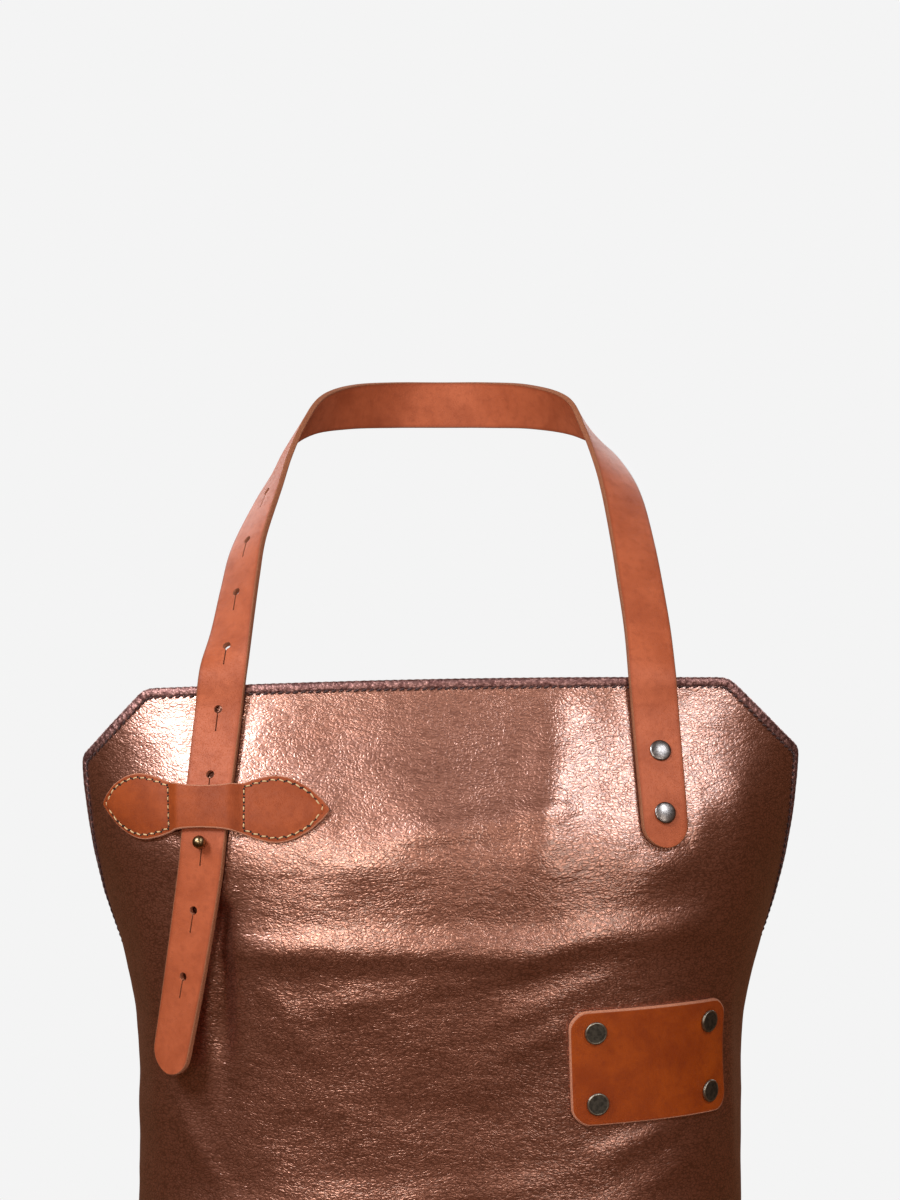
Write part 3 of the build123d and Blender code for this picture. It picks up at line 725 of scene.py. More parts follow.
def whole_outline():
    """The panel's outline, clockwise from the left of the hem, evenly spaced and softened."""
    left_z = np.linspace(HEM_Z, TOP_Z[0] - 1, 800)
    right_z = np.linspace(TOP_Z[-1] - 1, HEM_Z, 800)
    hem_arc = np.linspace(SKIRT_FLAT_HALF, -SKIRT_FLAT_HALF, 600)[1:-1]
    arc = np.concatenate([-flat_half(left_z), TOP_ARC, flat_half(right_z), hem_arc])
    z = np.concatenate([left_z, TOP_Z, right_z, np.full(hem_arc.shape, HEM_Z)])
    path = even_spacing(np.stack([arc, z], axis=1), 1.0)
    for _ in range(3):
        path = sum(np.roll(path, k, axis=0) for k in range(-3, 4)) / 7
    return even_spacing(path, 1.0)


OUTLINE = whole_outline()
AHEAD = unit(np.roll(OUTLINE, -1, axis=0) - np.roll(OUTLINE, 1, axis=0))
INWARD = np.stack([AHEAD[:, 1], -AHEAD[:, 0]], axis=1)


# ---- apron panel
CHAMFER_COLUMNS, TOP_COLUMNS, PANEL_ROWS = 16, 145, 276


def make_panel():
    """One sheet of leather whose top row follows the bib's outline, thickened inwards."""
    half = CHEST_FLAT_HALF + 0.3
    corners = [arc_at_x(side * BIB_TOP_HALF + BIB_SHIFT, BIB_TOP_Z + 3 * side)[0] for side in (-1, 1)]
    left, right = (corner / half for corner in corners)
    share = np.concatenate([
        np.linspace(-1.0, left, CHAMFER_COLUMNS, endpoint=False),
        np.linspace(left, right, TOP_COLUMNS, endpoint=False),
        np.linspace(right, 1.0, CHAMFER_COLUMNS + 1),
    ])
    top = np.interp(share * half, TOP_ARC, TOP_Z) - PANEL_INSET
    down = np.linspace(0, 1, PANEL_ROWS)[:, None]
    z = top * (1 - down) + (HEM_Z + PANEL_INSET) * down
    arc = share * (flat_half(z) - PANEL_INSET)
    faces = flipped(grid_faces(PANEL_ROWS, len(share)))
    place = np.stack([arc.ravel(), z.ravel()], axis=1)
    piece = build("apron_sheet", on_panel(arc.ravel(), z.ravel()), faces, [FOIL, SUEDE], flat=place)
    thicken = piece.modifiers.new("thickness", "SOLIDIFY")
    thicken.thickness = PANEL_THICKNESS * MM
    thicken.offset = -1
    thicken.material_offset = 1
    fit(piece, "metallic_leather", "apron_panel")
    return piece


# The turned edge's section: (distance from the edge, height over the panel's outer face)
EDGE_SECTION = [
    (5.2, -0.10), (4.9, 0.42), (3.9, 0.72), (2.6, 0.86), (1.3, 0.66), (0.35, 0.10), (0.0, -0.70),
    (0.35, -1.50), (1.3, -2.02), (2.6, -2.2), (3.9, -2.08), (4.9, -1.78), (5.2, -1.30),
]
# How much of a stitch's pull each of its points takes, from the sewn side outwards
PULL = [0.3, 1.0, 0.8, 0.45, 0.2, 0.0, 0.0]


def make_edge():
    """The turned edge all round the panel, drawn in by each stitch."""
    count, width = len(OUTLINE), len(EDGE_SECTION)
    pucker = 0.5 - 0.5 * np.cos(np.arange(count) / STITCH_PITCH * 2 * math.pi)
    uneven = np.array([noise.noise(Vector((i / 9.0, 5.5, 0))) for i in range(count)])
    columns = []
    for row, (inset, height) in enumerate(EDGE_SECTION):
        pull = PULL[min(row, width - 1 - row)]
        lift = pull * (0.50 * pucker - 0.28) + 0.14 * uneven * (inset > 0.2)
        inset = inset + 0.35 * uneven * (inset > 4) + 0.2 * pucker * (inset < 0.5)
        arc, z = (OUTLINE + INWARD * inset[:, None]).T
        columns.append(on_panel(arc, z, height + (lift if height > -0.7 else -lift)))
    points = np.stack(columns, axis=1).reshape(-1, 3)
    faces = grid_faces(count, width, closed=True, ring=True)
    piece = build("turned_edge", points, faces, [EDGE], sharp=60)
    fit(piece, "binding_leather", "edge_binding")
    return piece


def make_edge_thread():
    """Slanting dark stitches just inside the turned edge, on both faces."""
    meshes = Meshes()
    at = np.arange(0, len(OUTLINE), round(STITCH_PITCH))
    normals = normal_at(turn_at_arc(OUTLINE[at, 0], OUTLINE[at, 1]), OUTLINE[at, 1])
    steps, slants = (-1.65, -0.9, 0.0, 0.9, 1.65), (-0.55, -0.3, 0.0, 0.3, 0.55)
    for face, rises in ((1, (-0.15, 0.34, 0.5, 0.34, -0.15)), (-1, (-1.2, -1.75, -1.9, -1.75, -1.2))):
        spines = []
        for step, slant, rise in zip(steps, slants, rises):
            place = OUTLINE[at] + AHEAD[at] * step + INWARD[at] * (STITCH_INSET - slant)
            spines.append(on_panel(place[:, 0], place[:, 1], rise))
        for spine, normal in zip(np.stack(spines, axis=1), normals):
            thread(meshes, spine, normal * face, 0.5)
    piece = meshes.build("edge_thread", [DARK_THREAD], sharp=80)
    fit(piece, "binding_leather")
    return piece


# ---- ribbons
def ribbon_section(thickness):
    """(share of half width, extra half width, height) round a section; its edges have extra."""
    top, low = thickness / 2, -thickness / 2
    curve = [
        (math.cos(a) * EDGE_ROUND, top - EDGE_ROUND + math.sin(a) * EDGE_ROUND)
        for a in (1.05, 0.52, 0.0)
    ]
    curve += [(EDGE_ROUND, low + 0.35), (EDGE_ROUND - 0.35, low)]
    points = [(k, 0.0, top + FACE_CROWN * (1 - k * k)) for k in np.linspace(-1, 1, 11)]
    points += [(1.0, *place) for place in curve]
    points += [(k, 0.0, low) for k in np.linspace(1, -1, 7)]
    return points + [(-1.0, *place) for place in curve[::-1]]


def edge_kinds(rows, section):
    """1 for the faces of a capped ribbon that are cut edge, and 0 for the others."""
    after = section[1:] + section[:1]
    return [int(a[1] + b[1] > 0) for a, b in zip(section, after)] * (rows - 1) + [1, 1]


def cut_keyholes(strap, holes):
    """Cuts keyholes from a flat strap with prisms; each hole is (place, radius)."""
    meshes = Meshes()
    half = SLIT_WIDTH / 2
    for place, radius in holes:
        first = math.asin(half / radius)
        angles = np.linspace(first, 2 * math.pi - first, 28)
        end = radius + SLIT_LENGTH
        outline = [(radius * math.sin(a), radius * math.cos(a)) for a in angles]
        outline += [(-half, end), (-half * 1.5, end + 0.5), (0, end + 1.1)]
        outline += [(half * 1.5, end + 0.5), (half, end)]
        points = [(x, place - y, h) for h in (-9.0, 9.0) for x, y in outline]
        meshes.add(points, tube_faces(2, len(outline)))
    cutter = meshes.build("keyhole_cutter", [PALE_EDGE])
    cut = strap.modifiers.new("keyholes", "BOOLEAN")
    cut.operation, cut.solver, cut.object = "DIFFERENCE", "EXACT", cutter
    cut.material_mode = "TRANSFER"
    bpy.context.view_layer.update()
    done = strap.evaluated_get(bpy.context.evaluated_depsgraph_get())
    mesh = bpy.data.meshes.new_from_object(done)
    strap.modifiers.clear()
    strap.data = mesh
    bpy.data.objects.remove(cutter)


def bend_strap(strap, place_on):
    """Lays a flat strap along its route, keeping its flat places as its UV map."""
    mesh = strap.data
    flat = np.zeros(len(mesh.vertices) * 3)
    mesh.vertices.foreach_get("co", flat)
    flat = flat.reshape(-1, 3) / MM
    origin, across, outward = place_on(flat[:, 1])
    placed = origin + across * flat[:, :1] + outward * flat[:, 2:]
    mesh.vertices.foreach_set("co", (placed * MM).ravel())
    set_flat(mesh, flat[:, :2])
    solid = bmesh.new()
    solid.from_mesh(mesh)
    bmesh.ops.remove_doubles(solid, verts=solid.verts, dist=0.00001)
    bmesh.ops.recalc_face_normals(solid, faces=solid.faces)
    solid.to_mesh(mesh)
    solid.free()
    settle(mesh, 38)


def make_strap(name, place_on, first, last, rounded, holes, bodies, fold, *nodes):
    """A strap from first to last along place_on, which gives origins, across and outward.

    rounded says which of its two ends are round. bodies and fold are not used.
    """
    half, step = STRAP_WIDTH / 2, 2.0
    section = ribbon_section(STRAP_THICKNESS)
    curve = half * (1 - np.cos(np.linspace(0.06, math.pi / 2, 15)))
    start = first + curve if rounded[0] else np.array([first, first + step])
    stop = last - curve[::-1] if rounded[1] else np.array([last - step, last])
    count = max(round((stop[0] - start[-1]) / step), 1)
    along = np.concatenate([start, np.linspace(start[-1], stop[0], count + 1)[1:-1], stop])
    from_first = along - first if rounded[0] else np.full(along.shape, half)
    from_last = last - along if rounded[1] else np.full(along.shape, half)
    from_end = np.minimum(np.minimum(from_first, from_last), half)
    cores = np.maximum(np.sqrt(half**2 - (half - from_end) ** 2) - EDGE_ROUND, 0.05)
    rows = [
        (k * core + math.copysign(extra, k), v, height)
        for v, core in zip(along, cores) for k, extra, height in section
    ]
    faces, kinds = tube_faces(len(along), len(section)), edge_kinds(len(along), section)
    strap = build(name, rows, faces, [TAN, BROWN_EDGE], kinds)
    if holes:
        cut_keyholes(strap, holes)
    bend_strap(strap, place_on)
    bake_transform(strap)
    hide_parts(*nodes)


# The neck strap's route: tail, left of the chest, round the nape, and down to its right end
TAIL_BEND_Z = STUD_Z - TAIL_BEND_DROP
TAIL_TIP_Z = STUD_Z - TAIL_TIP_DROP
LEFT_LEVELS = [TAIL_TIP_Z, TAIL_TIP_Z + 31, TAIL_TIP_Z + 62, TAIL_BEND_Z, STUD_Z]
LEFT_LEVELS += [-207, -184, -162, -141]
RIGHT_LEVELS = [-141, -162, -185, -208, RIGHT_END_Z - STRAP_WIDTH / 2]
SHOULDER = [
    ((-110.2, -144.5, -118.5), (-0.48, -0.64, 0.60)),
    ((-106.6, -126, -95), (-0.60, -0.56, 0.57)),
    ((-102.8, -108.5, -74.6), (-0.67, -0.46, 0.58)),
    ((-93.3, -86, -49.5), (-0.78, -0.29, 0.56)),
    ((-86.2, -71, -33), (-0.86, -0.13, 0.49)),
    ((-77.5, -55.5, -15), (-0.85, 0, 0.53)),
    ((-66.5, -38, -5), (-0.78, 0.42, 0.50)),
    ((-49, -17, -1), (-0.67, 0.68, 0.30)),
    ((-26, -3.3, 0), (-0.37, 0.92, 0.12)),
    ((0, STRAP_THICKNESS / 2, 0), (0, 1, 0)),
    ((26, -3.3, 0), (0.37, 0.92, 0.12)),
    ((50, -17, -1), (0.67, 0.68, 0.30)),
    ((71, -38, -6), (0.80, 0.45, 0.50)),
    ((83.6, -56, -18), (0.80, -0.18, 0.58)),
    ((92.6, -72, -33.6), (0.63, -0.45, 0.63)),
    ((98.4, -87, -50), (0.48, -0.61, 0.63)),
    ((103.3, -108.5, -74.6), (0.37, -0.68, 0.63)),
    ((106.4, -126, -95), (0.30, -0.72, 0.62)),
    ((109.6, -144.5, -118.5), (0.25, -0.75, 0.62)),
]


def chest_stations(levels, x, z, slope, gap):
    """Stations of a length that lies on the chest through one place at a slope."""
    stations = []
    for level in levels:
        lift = TAIL_LIFT * max(TAIL_BEND_Z - level, 0) / (TAIL_BEND_Z - TAIL_TIP_Z)
        arc = arc_at_x(x + slope * (level - z), level)[0]
        stations.append(seat(arc, level, gap + STRAP_THICKNESS / 2 + lift))
    return stations


def strap_stations():
    """The strap's middle line and the way its face points, from tip to right end."""
    stations = chest_stations(LEFT_LEVELS, STUD_X, STUD_Z, LEFT_SLOPE, LEFT_STRAP_GAP)
    stations += [(np.array(point, float), unit(np.array(normal))) for point, normal in SHOULDER]
    stations += chest_stations(RIGHT_LEVELS, RIGHT_END_X, RIGHT_END_Z, RIGHT_SLOPE, RIGHT_STRAP_GAP)
    places, normals = zip(*stations)
    return np.array(places), np.array(normals)


def smooth(values, position):
    """Catmull-Rom values at fractional places in a list of vectors."""
    ends = values[0] * 2 - values[1], values[-1] * 2 - values[-2]
    padded = np.concatenate([ends[:1], values, ends[1:]])
    index = np.clip(position.astype(int), 0, len(values) - 2)
    share = (position - index)[:, None]
    before, here, there, after = (padded[index + k] for k in range(4))
    return (
        here
        + (there - before) * (share / 2)
        + (before * 2 - here * 5 + there * 4 - after) * (share**2 / 2)
        + (here * 3 - before - there * 3 + after) * (share**3 / 2)
    )


STRAP_PLACES, STRAP_NORMALS = strap_stations()
STEPS = np.linspace(0, len(STRAP_PLACES) - 1, 3201)
RUN = lengths(smooth(STRAP_PLACES, STEPS))


def run_at(z):
    """Distance from the strap's tip to a height on its left length."""
    return np.interp(np.interp(z, LEFT_LEVELS, range(len(LEFT_LEVELS))), STEPS, RUN)


def on_neck_strap(run):
    """Origins, across and outward at distances along the neck strap from its tip."""
    position = np.interp(run, RUN, STEPS)
    along = smooth(STRAP_PLACES, position + 0.05) - smooth(STRAP_PLACES, position - 0.05)
    along = unit(along)
    across = unit(np.cross(smooth(STRAP_NORMALS, position), along))
    return smooth(STRAP_PLACES, position), across, np.cross(along, across)


def make_neck_strap():
    """Two straps that meet under the keeper: the loop, and the length with stud and tail."""
    seam, stud = run_at(KEEPER_Z), run_at(STUD_Z)
    holes = [(stud + n * HOLE_PITCH, HOLE_RADIUS) for n in range(-2, 7)]
    upper = [hole for hole in holes if hole[0] > seam + 8]
    make_strap(
        "neck_loop_strap", on_neck_strap, seam, RUN[-1], (False, True), upper,
        ("apron", "neck_loop"), NECK_FOLD, "neck_strap", "strap_riveted_end",
    )
    bend = stud - TAIL_BEND_DROP
    fold = on_neck_strap(np.array([bend + 6.0, bend - 8.0]))[0]
    make_strap(
        "stud_and_tail_strap", on_neck_strap, 0.0, seam, (True, False),
        [hole for hole in holes if hole not in upper], ("apron", "tail_flap"), fold,
        "strap_stud_length", "strap_tail",
    )


# ---- keeper
# Distance from the keeper's middle, and its half height there
BOW = np.array([
    (0.0, 10.4), (10.5, 10.9), (19.0, 12.5), (28.0, 15.4), (38.0, 17.0), (47.0, 15.2),
    (56.0, 10.6), (62.5, 5.2), (65.3, 2.0), (KEEPER_HALF_LENGTH, 0.35),
])


def bow_half(a):
    """Half height of the keeper at distances from its middle."""
    return smooth(BOW[:, 1:], np.interp(np.abs(a), BOW[:, 0], np.arange(len(BOW))))[:, 0]


def keeper_rise(a):
    """Height of the keeper's inner face: flat leaves, and a bridge over the strap."""
    near = 1 - ease(np.abs(a), STRAP_WIDTH / 2 + 0.8, STRAP_WIDTH / 2 + 9.0)
    return KEEPER_GAP + KEEPER_BRIDGE_RISE * near


def on_keeper(a, b, out):
    """Points over the panel, out from the keeper's inner face."""
    return on_panel(KEEPER_ARC + a, KEEPER_Z + b, keeper_rise(a) + out)


def make_keeper():
    """A bow of leather: domed leaves inside their stitching, and the bridge between them."""
    tip = np.linspace(60, KEEPER_HALF_LENGTH, 9)
    along = np.concatenate([-tip[::-1], np.linspace(-59, 59, 100), tip])
    half = bow_half(along)
    leaf = ease(np.abs(along), KEEPER_SEAM, KEEPER_SEAM + 5)
    seam_dip = np.exp(-(((np.abs(along) - KEEPER_SEAM) / 1.3) ** 2))
    section = ribbon_section(KEEPER_THICKNESS)
    columns = []
    for k, extra, height in section:
        b = k * np.maximum(half - EDGE_ROUND, 0.02)
        b += math.copysign(extra, k) * np.minimum(half / 2.0, 1.0)
        inside = half * (1 - abs(k))
        groove = 0.18 * leaf * np.exp(-(((inside - 2.4) / 0.9) ** 2))
        puff = 0.55 * leaf * ease(inside, 2.2, 5.5) - 0.22 * seam_dip - groove
        columns.append((along, b, KEEPER_THICKNESS / 2 + height + puff * (height > 0)))
    a, b, out = (values.ravel() for values in np.stack(columns, axis=2))
    faces = flipped(tube_faces(len(along), len(section)))
    kinds, flat = edge_kinds(len(along), section), np.stack([b, a], axis=1)
    piece = build("keeper_bow", on_keeper(a, b, out), faces, [KEEPER_TAN, PALE_EDGE], kinds, flat)
    fit(piece, "tan_leather", "strap_keeper")


def keeper_seams():
    """The two rows of stitches on a leaf: round its edge, and upright across its root."""
    out = np.linspace(KEEPER_SEAM, KEEPER_STITCH_END, 60)
    a = np.concatenate([out, out[-2::-1]])
    edge = np.maximum(bow_half(a) - KEEPER_STITCH_INSET - 1.4 * ease(a, 54, 62), 0.0)
    b = edge * np.where(np.arange(len(a)) < len(out), 1, -1)
    upright = np.stack([np.full(20, KEEPER_SEAM), np.linspace(b[-1], b[0], 20)], axis=1)
    return np.stack([a, b], axis=1), upright


def make_keeper_thread():
    """Saddle stitches round both leaves, with a near-black disc at each end as the painted shade of a
    needle hole.
    """
    meshes = Meshes()
    steps = np.array([-0.36, -0.2, 0.0, 0.2, 0.36])
    slants = np.array([0.32, 0.16, 0.0, -0.16, -0.32])
    rises = np.array([-0.35, 0.16, 0.34, 0.16, -0.35])
    for side, path in ((side, path) for side in (-1, 1) for path in keeper_seams()):
        run = lengths(path)
        count = round(run[-1] / KEEPER_STITCH_PITCH)
        for i in range(count):
            at = (i + 0.5 + steps) * run[-1] / count
            a = np.interp(at, run, path[:, 0]) * side
            b = np.interp(at, run, path[:, 1]) + slants
            spine = on_keeper(a, b, KEEPER_THICKNESS + rises)
            normal = normal_at(turn_at_arc(KEEPER_ARC + a[2], KEEPER_Z)[0], KEEPER_Z)
            thread(meshes, spine, normal, 0.44)
            for spot in on_keeper(a[[0, 4]], b[[0, 4]], KEEPER_THICKNESS + 0.12):
                # Painted shade: a near-black disc at each end of the stitch, standing for its needle
                # hole.
                lathe(meshes, spot, normal, NEEDLE_HOLE_SHADE_DISC, 1, 8, spine[-1] - spine[0], 1.15)
    fit(meshes.build("keeper_thread", [CREAM_THREAD, HOLE_SHADE], sharp=80), "tan_leather")


# ---- patch
def on_patch(across, up):
    """Arcs and heights of places on the patch's own tilted axes."""
    level, rise = turned(across, up, PATCH_TILT)
    return PATCH_ARC + level, PATCH_Z + rise


def patch_outline():
    """The patch's outline, clockwise from its top left corner, about 2 mm apart."""
    w, h, r = PATCH_WIDTH / 2 - PATCH_CORNER, PATCH_HEIGHT / 2 - PATCH_CORNER, PATCH_CORNER
    path = []
    for cx, cy, start in [(-w, h, 180), (w, h, 90), (w, -h, 0), (-w, -h, -90)]:
        for angle in np.radians(start - np.linspace(0, 90, 10)):
            flatter = r * (1 - 0.06 * math.sin(2 * angle) ** 2)
            path.append((cx + flatter * math.cos(angle), cy + flatter * math.sin(angle)))
    return even_spacing(np.array(path), 2.0)


def make_patch():
    """A plate of firm leather with a bevelled pale edge, cupped a little at its corners."""
    ring = patch_outline()
    size = np.array([PATCH_WIDTH / 2, PATCH_HEIGHT / 2])
    shares = np.linspace(0.03, 0.97, 25)
    bevel = 0.8
    loops = [(ring * share, 0.0, 1) for share in shares]
    for inset, height in [(0.0, 0.0), (0.0, 1.5), (0.25, 2.1), (bevel, PATCH_THICKNESS)]:
        loops.append((ring * (1 - inset / size), height, 1))
    loops += [(ring * (1 - bevel / size) * share, PATCH_THICKNESS, 0) for share in shares[::-1]]
    places = np.concatenate([loop for loop, _, _ in loops])
    heights = np.repeat([height for _, height, _ in loops], len(ring))
    curl = 0.5 * ease(np.hypot(*(places / size).T), 0.95, 1.35)
    wave = 0.12 * np.array([noise.noise(Vector((x / 18, y / 18, 2.0))) for x, y in places])
    points = form_point(*on_patch(*places.T), PATCH_GAP + heights + curl + wave)
    faces = flipped(tube_faces(len(loops), len(ring)))
    kinds = [kind for _, _, kind in loops[1:] for _ in ring] + [1, 0]
    piece = build("patch_plate", points, faces, [PATCH_TAN, PALE_EDGE], kinds, places)
    fit(piece, "patch_leather", "patch")


# ---- metal pieces
def make_turned(name, node, slot, seats, profiles, materials, body="apron"):
    """The same turned shapes on every seat, each of its own material."""
    meshes = Meshes()
    for place in seats:
        for index, profile in enumerate(profiles):
            lathe(meshes, *place, profile, index)
    fit(meshes.build(name, materials), slot, node, body=body)


def domed_cap():
    """A rolled rim and a domed top."""
    profile = [(0.96, 0.0), (1.0, 0.12), (1.0, CAP_RIM), (0.97, CAP_RIM + 0.16)]
    for share in np.linspace(0.92, 0.0, 12):
        dome = 0.55 * math.sqrt(1 - (share * 0.985) ** 2) + 0.45 * (1 - share**2)
        profile.append((share, CAP_RIM + (CAP_HEIGHT - CAP_RIM) * dome))
    return [(share * CAP_RADIUS, height) for share, height in profile]


def rimmed_cap():
    """A slightly domed field, and the raised rubbed rim round it."""
    rim = [(0.3, 0.0), (0.0, 0.2), (0.0, 1.0), (0.22, 1.38), (0.6, 1.5), (1.0, 1.36)]
    rim = [(PATCH_CAP_RADIUS - inset, height) for inset, height in rim]
    shares = np.linspace(1, 0, 9)
    field = [(s * (PATCH_CAP_RADIUS - 1.35), 1.05 + 0.32 * (1 - s * s)) for s in shares]
    return rim[-1:] + field, rim + [(0.0, 0.9)]


def ball_stud(grip):
    """Flange, neck and ball of a button stud; grip is what it holds over its flange."""
    top = FLANGE_HEIGHT + grip
    profile = [(4.1, 0.0), (4.2, 0.3), (4.0, FLANGE_HEIGHT - 0.05)]
    profile += [(NECK_RADIUS, FLANGE_HEIGHT), (NECK_RADIUS, top + 0.25)]
    for angle in np.linspace(math.asin(NECK_RADIUS / BALL_RADIUS), math.pi, 18):
        lift = BALL_RADIUS * (1 - math.cos(angle))
        profile.append((BALL_RADIUS * math.sin(angle), top + lift))
    return profile


# ---- belt
EDGE_ARC = float(flat_half(BELT_Z))
WAIST_TURNS, WAIST_RUNS = arc_table(np.array([BELT_Z]))
BACK_ARC = math.ceil(np.interp(math.pi, WAIST_TURNS, WAIST_RUNS[0]))
STUD_ARC = BACK_ARC - BELT_STUD_PAST_MIDDLE
BELT_BEND_ARC = STUD_ARC - BELT_TAIL_BEND
BELT_TIP_ARC = STUD_ARC - BELT_TAIL_LENGTH
RIGHT_END_ARC = STUD_ARC + BELT_END_PAST_STUD
LEFT_EDGE_ARC = 2 * BACK_ARC - EDGE_ARC


def left_gap(arc):
    """The left half rises over the right half's end, then its tail lifts a little."""
    over = ease(-arc, -RIGHT_END_ARC - 42, -RIGHT_END_ARC - 6)
    lift = BELT_TAIL_LIFT * np.maximum(BELT_BEND_ARC - arc, 0) / (BELT_BEND_ARC - BELT_TIP_ARC)
    return BELT_GAP + (BELT_OVER - BELT_GAP) * over + lift


def right_gap(arc):
    return np.full(arc.shape, BELT_GAP)


def belt_route(gap):
    """Origins, across and outward along the belt; distances are arcs of the waist section."""

    def place_on(arc):
        turn = turn_at_arc(arc, BELT_Z)
        x, y = form_xy(turn, BELT_Z)
        dx, dy = form_slope(turn, BELT_Z)
        out = np.stack([dy, -dx, dx * 0], axis=1) / np.hypot(dx, dy)[:, None]
        origin = np.stack([x, y, np.full(arc.shape, BELT_Z)], axis=1)
        origin += out * (gap(arc) + STRAP_THICKNESS / 2)[:, None]
        return origin, np.tile((0.0, 0.0, 1.0), (len(arc), 1)), out

    return place_on


def make_belt():
    """The two halves; the left one is two pieces, which meet where nothing bends."""
    left, right = belt_route(left_gap), belt_route(right_gap)
    seam = BACK_ARC + BELT_SEAM_PAST_MIDDLE
    holes = [(STUD_ARC, BELT_CLEAR_HOLE)] + [(STUD_ARC - n * HOLE_PITCH, HOLE_RADIUS) for n in (1, 2)]
    make_strap(
        "belt_left_strap", left, seam, LEFT_EDGE_ARC + BELT_ANCHOR_OVERLAP, (False, True), [],
        ("apron", "belt_left_half"), left(np.array([LEFT_EDGE_ARC + 5.0, LEFT_EDGE_ARC - 9.0]))[0],
        "belt_left_anchor", "belt_left",
    )
    make_strap(
        "belt_tail_strap", left, BELT_TIP_ARC, seam, (True, False), holes,
        ("belt_left_half", "belt_end_flap"),
        left(np.array([BELT_BEND_ARC + 6.0, BELT_BEND_ARC - 8.0]))[0], "belt_tail",
    )
    make_strap(
        "belt_right_strap", right, EDGE_ARC - BELT_ANCHOR_OVERLAP, RIGHT_END_ARC, (True, True), [],
        ("apron", "belt_right_half"), right(np.array([EDGE_ARC - 5.0, EDGE_ARC + 9.0]))[0],
        "belt_right_anchor", "belt_right",
    )


def make_metal():
    """Studs and caps, and the finishes of the screws and posts that stay as the CAD has them."""
    stud = [ball_stud(LEFT_STRAP_GAP - FLANGE_HEIGHT + STRAP_THICKNESS + 0.3)]
    seats = [seat(NECK_STUD_ARC, STUD_Z, 0.1)]
    make_turned("strap_ball_stud", "strap_stud", "antique_brass", seats, stud, [BRASS])
    out = RIGHT_STRAP_GAP + STRAP_THICKNESS + 0.15
    seats = [seat(arc_at_x(x, z)[0], z, out) for x, z in STRAP_RIVETS]
    make_turned("strap_caps", "strap_rivet_caps", "nickel", seats, [domed_cap()], [NICKEL])
    seats = [seat(*on_patch(*place), PATCH_GAP + PATCH_THICKNESS + 0.05) for place in PATCH_RIVETS]
    finish = [PEWTER, RIM]
    make_turned("patch_caps", "patch_rivet_caps", "dark_pewter", seats, rimmed_cap(), finish)
    belt_top = BELT_GAP + STRAP_THICKNESS
    arcs = [side * (EDGE_ARC - inset) for side in (-1, 1) for inset in BELT_RIVET_INSETS]
    seats = [seat(arc, BELT_Z, belt_top + 0.12) for arc in arcs]
    make_turned("belt_caps", "belt_rivet_caps", "nickel", seats, [domed_cap()], [NICKEL])
    stud = [ball_stud(BELT_OVER - BELT_GAP - FLANGE_HEIGHT + 0.3)]
    seats, body = [seat(STUD_ARC, BELT_Z, belt_top + 0.05)], "belt_right_half"
    make_turned("belt_ball_stud", "belt_stud", "antique_brass", seats, stud, [BRASS], body)
    finishes = {
        "stud_screw": BRASS, "belt_stud_screw": BRASS, "strap_rivet_posts": NICKEL,
        "belt_rivet_posts": NICKEL, "patch_rivet_posts": PEWTER,
    }
    for node, material in finishes.items():
        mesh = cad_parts[node].data
        mesh.materials.clear()
        mesh.materials.append(material)


# ---- studio
CAMERA_DISTANCE = 2600.0
CHEST_Y = -190.0
AXIS_X, AXIS_Z = 5.2, -102.0
LOOK_DOWN = math.radians(2.0)
LENS, SENSOR = 150.1, 36.0
PALE = 0.905
SHADE = (0.090, 0.036, 0.014)
FLOOR_Z = -1004.0
FLOOR_RADIUS = 2600.0
WARM = (1.0, 0.86, 0.74)
# Name, azimuth (0 in front, growing towards +X), elevation, distance, size, power, colour
LIGHTS = [
    ("key_left", -50, 40, 2.4, (0.6, 0.8), 42, (1, 1, 1)),
    ("key_right", 40, 39, 2.4, (0.6, 0.8), 18.5, (1, 1, 1)),
    ("low_left", -19, 14, 2.8, (0.5, 0.4), 17, WARM),
    ("low_right", 26, 7, 2.8, (0.5, 0.4), 8, WARM),
    ("back_left", -150, 30, 2.6, (1.2, 1.2), 26, (1, 1, 1)),
    ("back_right", 150, 30, 2.6, (1.2, 1.2), 26, (1, 1, 1)),
]


def make_camera():
    data = bpy.data.cameras.new("camera")
    data.lens, data.sensor_width = LENS, SENSOR
    camera = put("camera", data)
    rise = CAMERA_DISTANCE * math.tan(LOOK_DOWN)
    camera.location = Vector((AXIS_X, CHEST_Y - CAMERA_DISTANCE, AXIS_Z + rise)) * MM
    camera.rotation_euler = (math.pi / 2 - LOOK_DOWN, 0, 0)
    bpy.context.scene.camera = camera


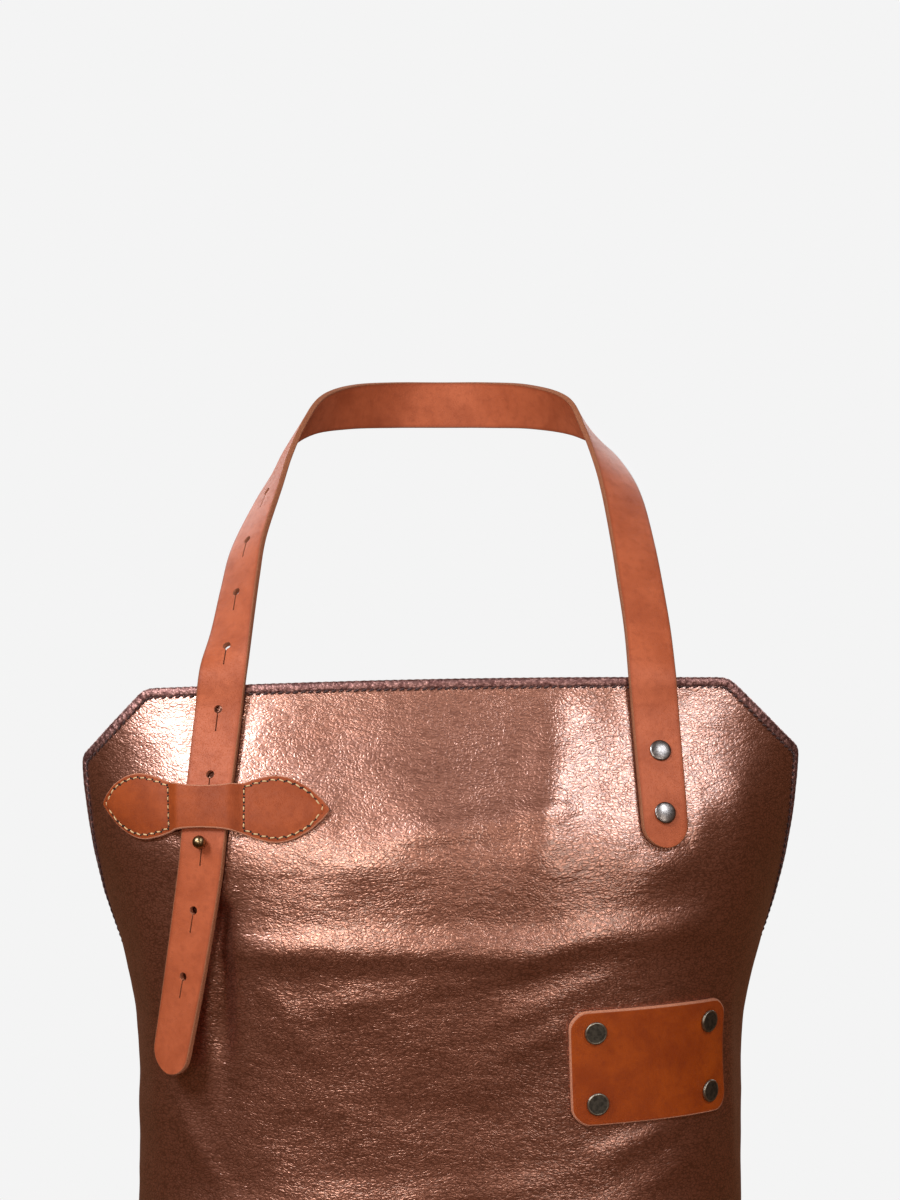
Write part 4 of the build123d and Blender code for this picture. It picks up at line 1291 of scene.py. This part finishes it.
def make_lights():
    """Soft boxes that face the chest."""
    for name, azimuth, elevation, distance, size, power, colour in LIGHTS:
        data = bpy.data.lights.new(name, "AREA")
        data.shape, data.size, data.size_y = "RECTANGLE", size[0], size[1]
        data.energy, data.color = power, colour
        light = put(name, data)
        a, e = math.radians(azimuth), math.radians(elevation)
        away = Vector((math.sin(a) * math.cos(e), -math.cos(a) * math.cos(e), math.sin(e)))
        light.location = Vector((0, -0.15, -0.28)) + away * distance
        light.rotation_euler = away.to_track_quat("Z", "Y").to_euler()


def make_world():
    """Pale surroundings to the camera, darker ones to the metallic leather's reflections."""
    world = bpy.data.worlds.new("studio")
    bpy.context.scene.world = world
    world.use_nodes = True
    tree = world.node_tree
    rays = tree.nodes.new("ShaderNodeLightPath")
    pale = tree.nodes.new("ShaderNodeMix")
    pale.data_type = "RGBA"
    pale.inputs[6].default_value = (*SHADE, 1)
    pale.inputs[7].default_value = (PALE, PALE, PALE, 1)
    tree.links.new(rays.outputs["Is Camera Ray"], pale.inputs[0])
    tree.links.new(pale.outputs[2], tree.nodes["Background"].inputs["Color"])
    settings = bpy.context.scene.view_settings
    settings.view_transform, settings.look = "Standard", "None"


def make_floor():
    """A pale round floor that fades out into the surroundings."""
    s = Shader("pale_floor")
    s.finish(Base_Color=s.colours(s.noise(60.0), (0.66,) * 3, (0.70,) * 3), Roughness=0.9)
    share = s.spread(s.vector("LENGTH", s.place)["Value"], FLOOR_RADIUS / 2, FLOOR_RADIUS)
    clear = s.node("ShaderNodeBsdfTransparent").outputs[0]
    mixed = s.node("ShaderNodeMixShader", _0=share, _1=s.bsdf.outputs[0], _2=clear)
    s.set(s.tree.nodes["Material Output"].inputs["Surface"], mixed.outputs[0])
    cosines, sines = circle(64)
    ring = np.hstack([FLOOR_RADIUS * cosines, FLOOR_RADIUS * sines, np.full((64, 1), FLOOR_Z)])
    floor = build("floor", ring, [tuple(range(64))], [s.material])
    floor.visible_glossy = False


# ---- assembly
panel = make_panel()
turned_edge = make_edge()
edge_thread = make_edge_thread()
make_neck_strap()
make_keeper()
make_keeper_thread()
make_patch()
make_belt()
make_metal()
make_camera()
make_lights()
make_world()
make_floor()
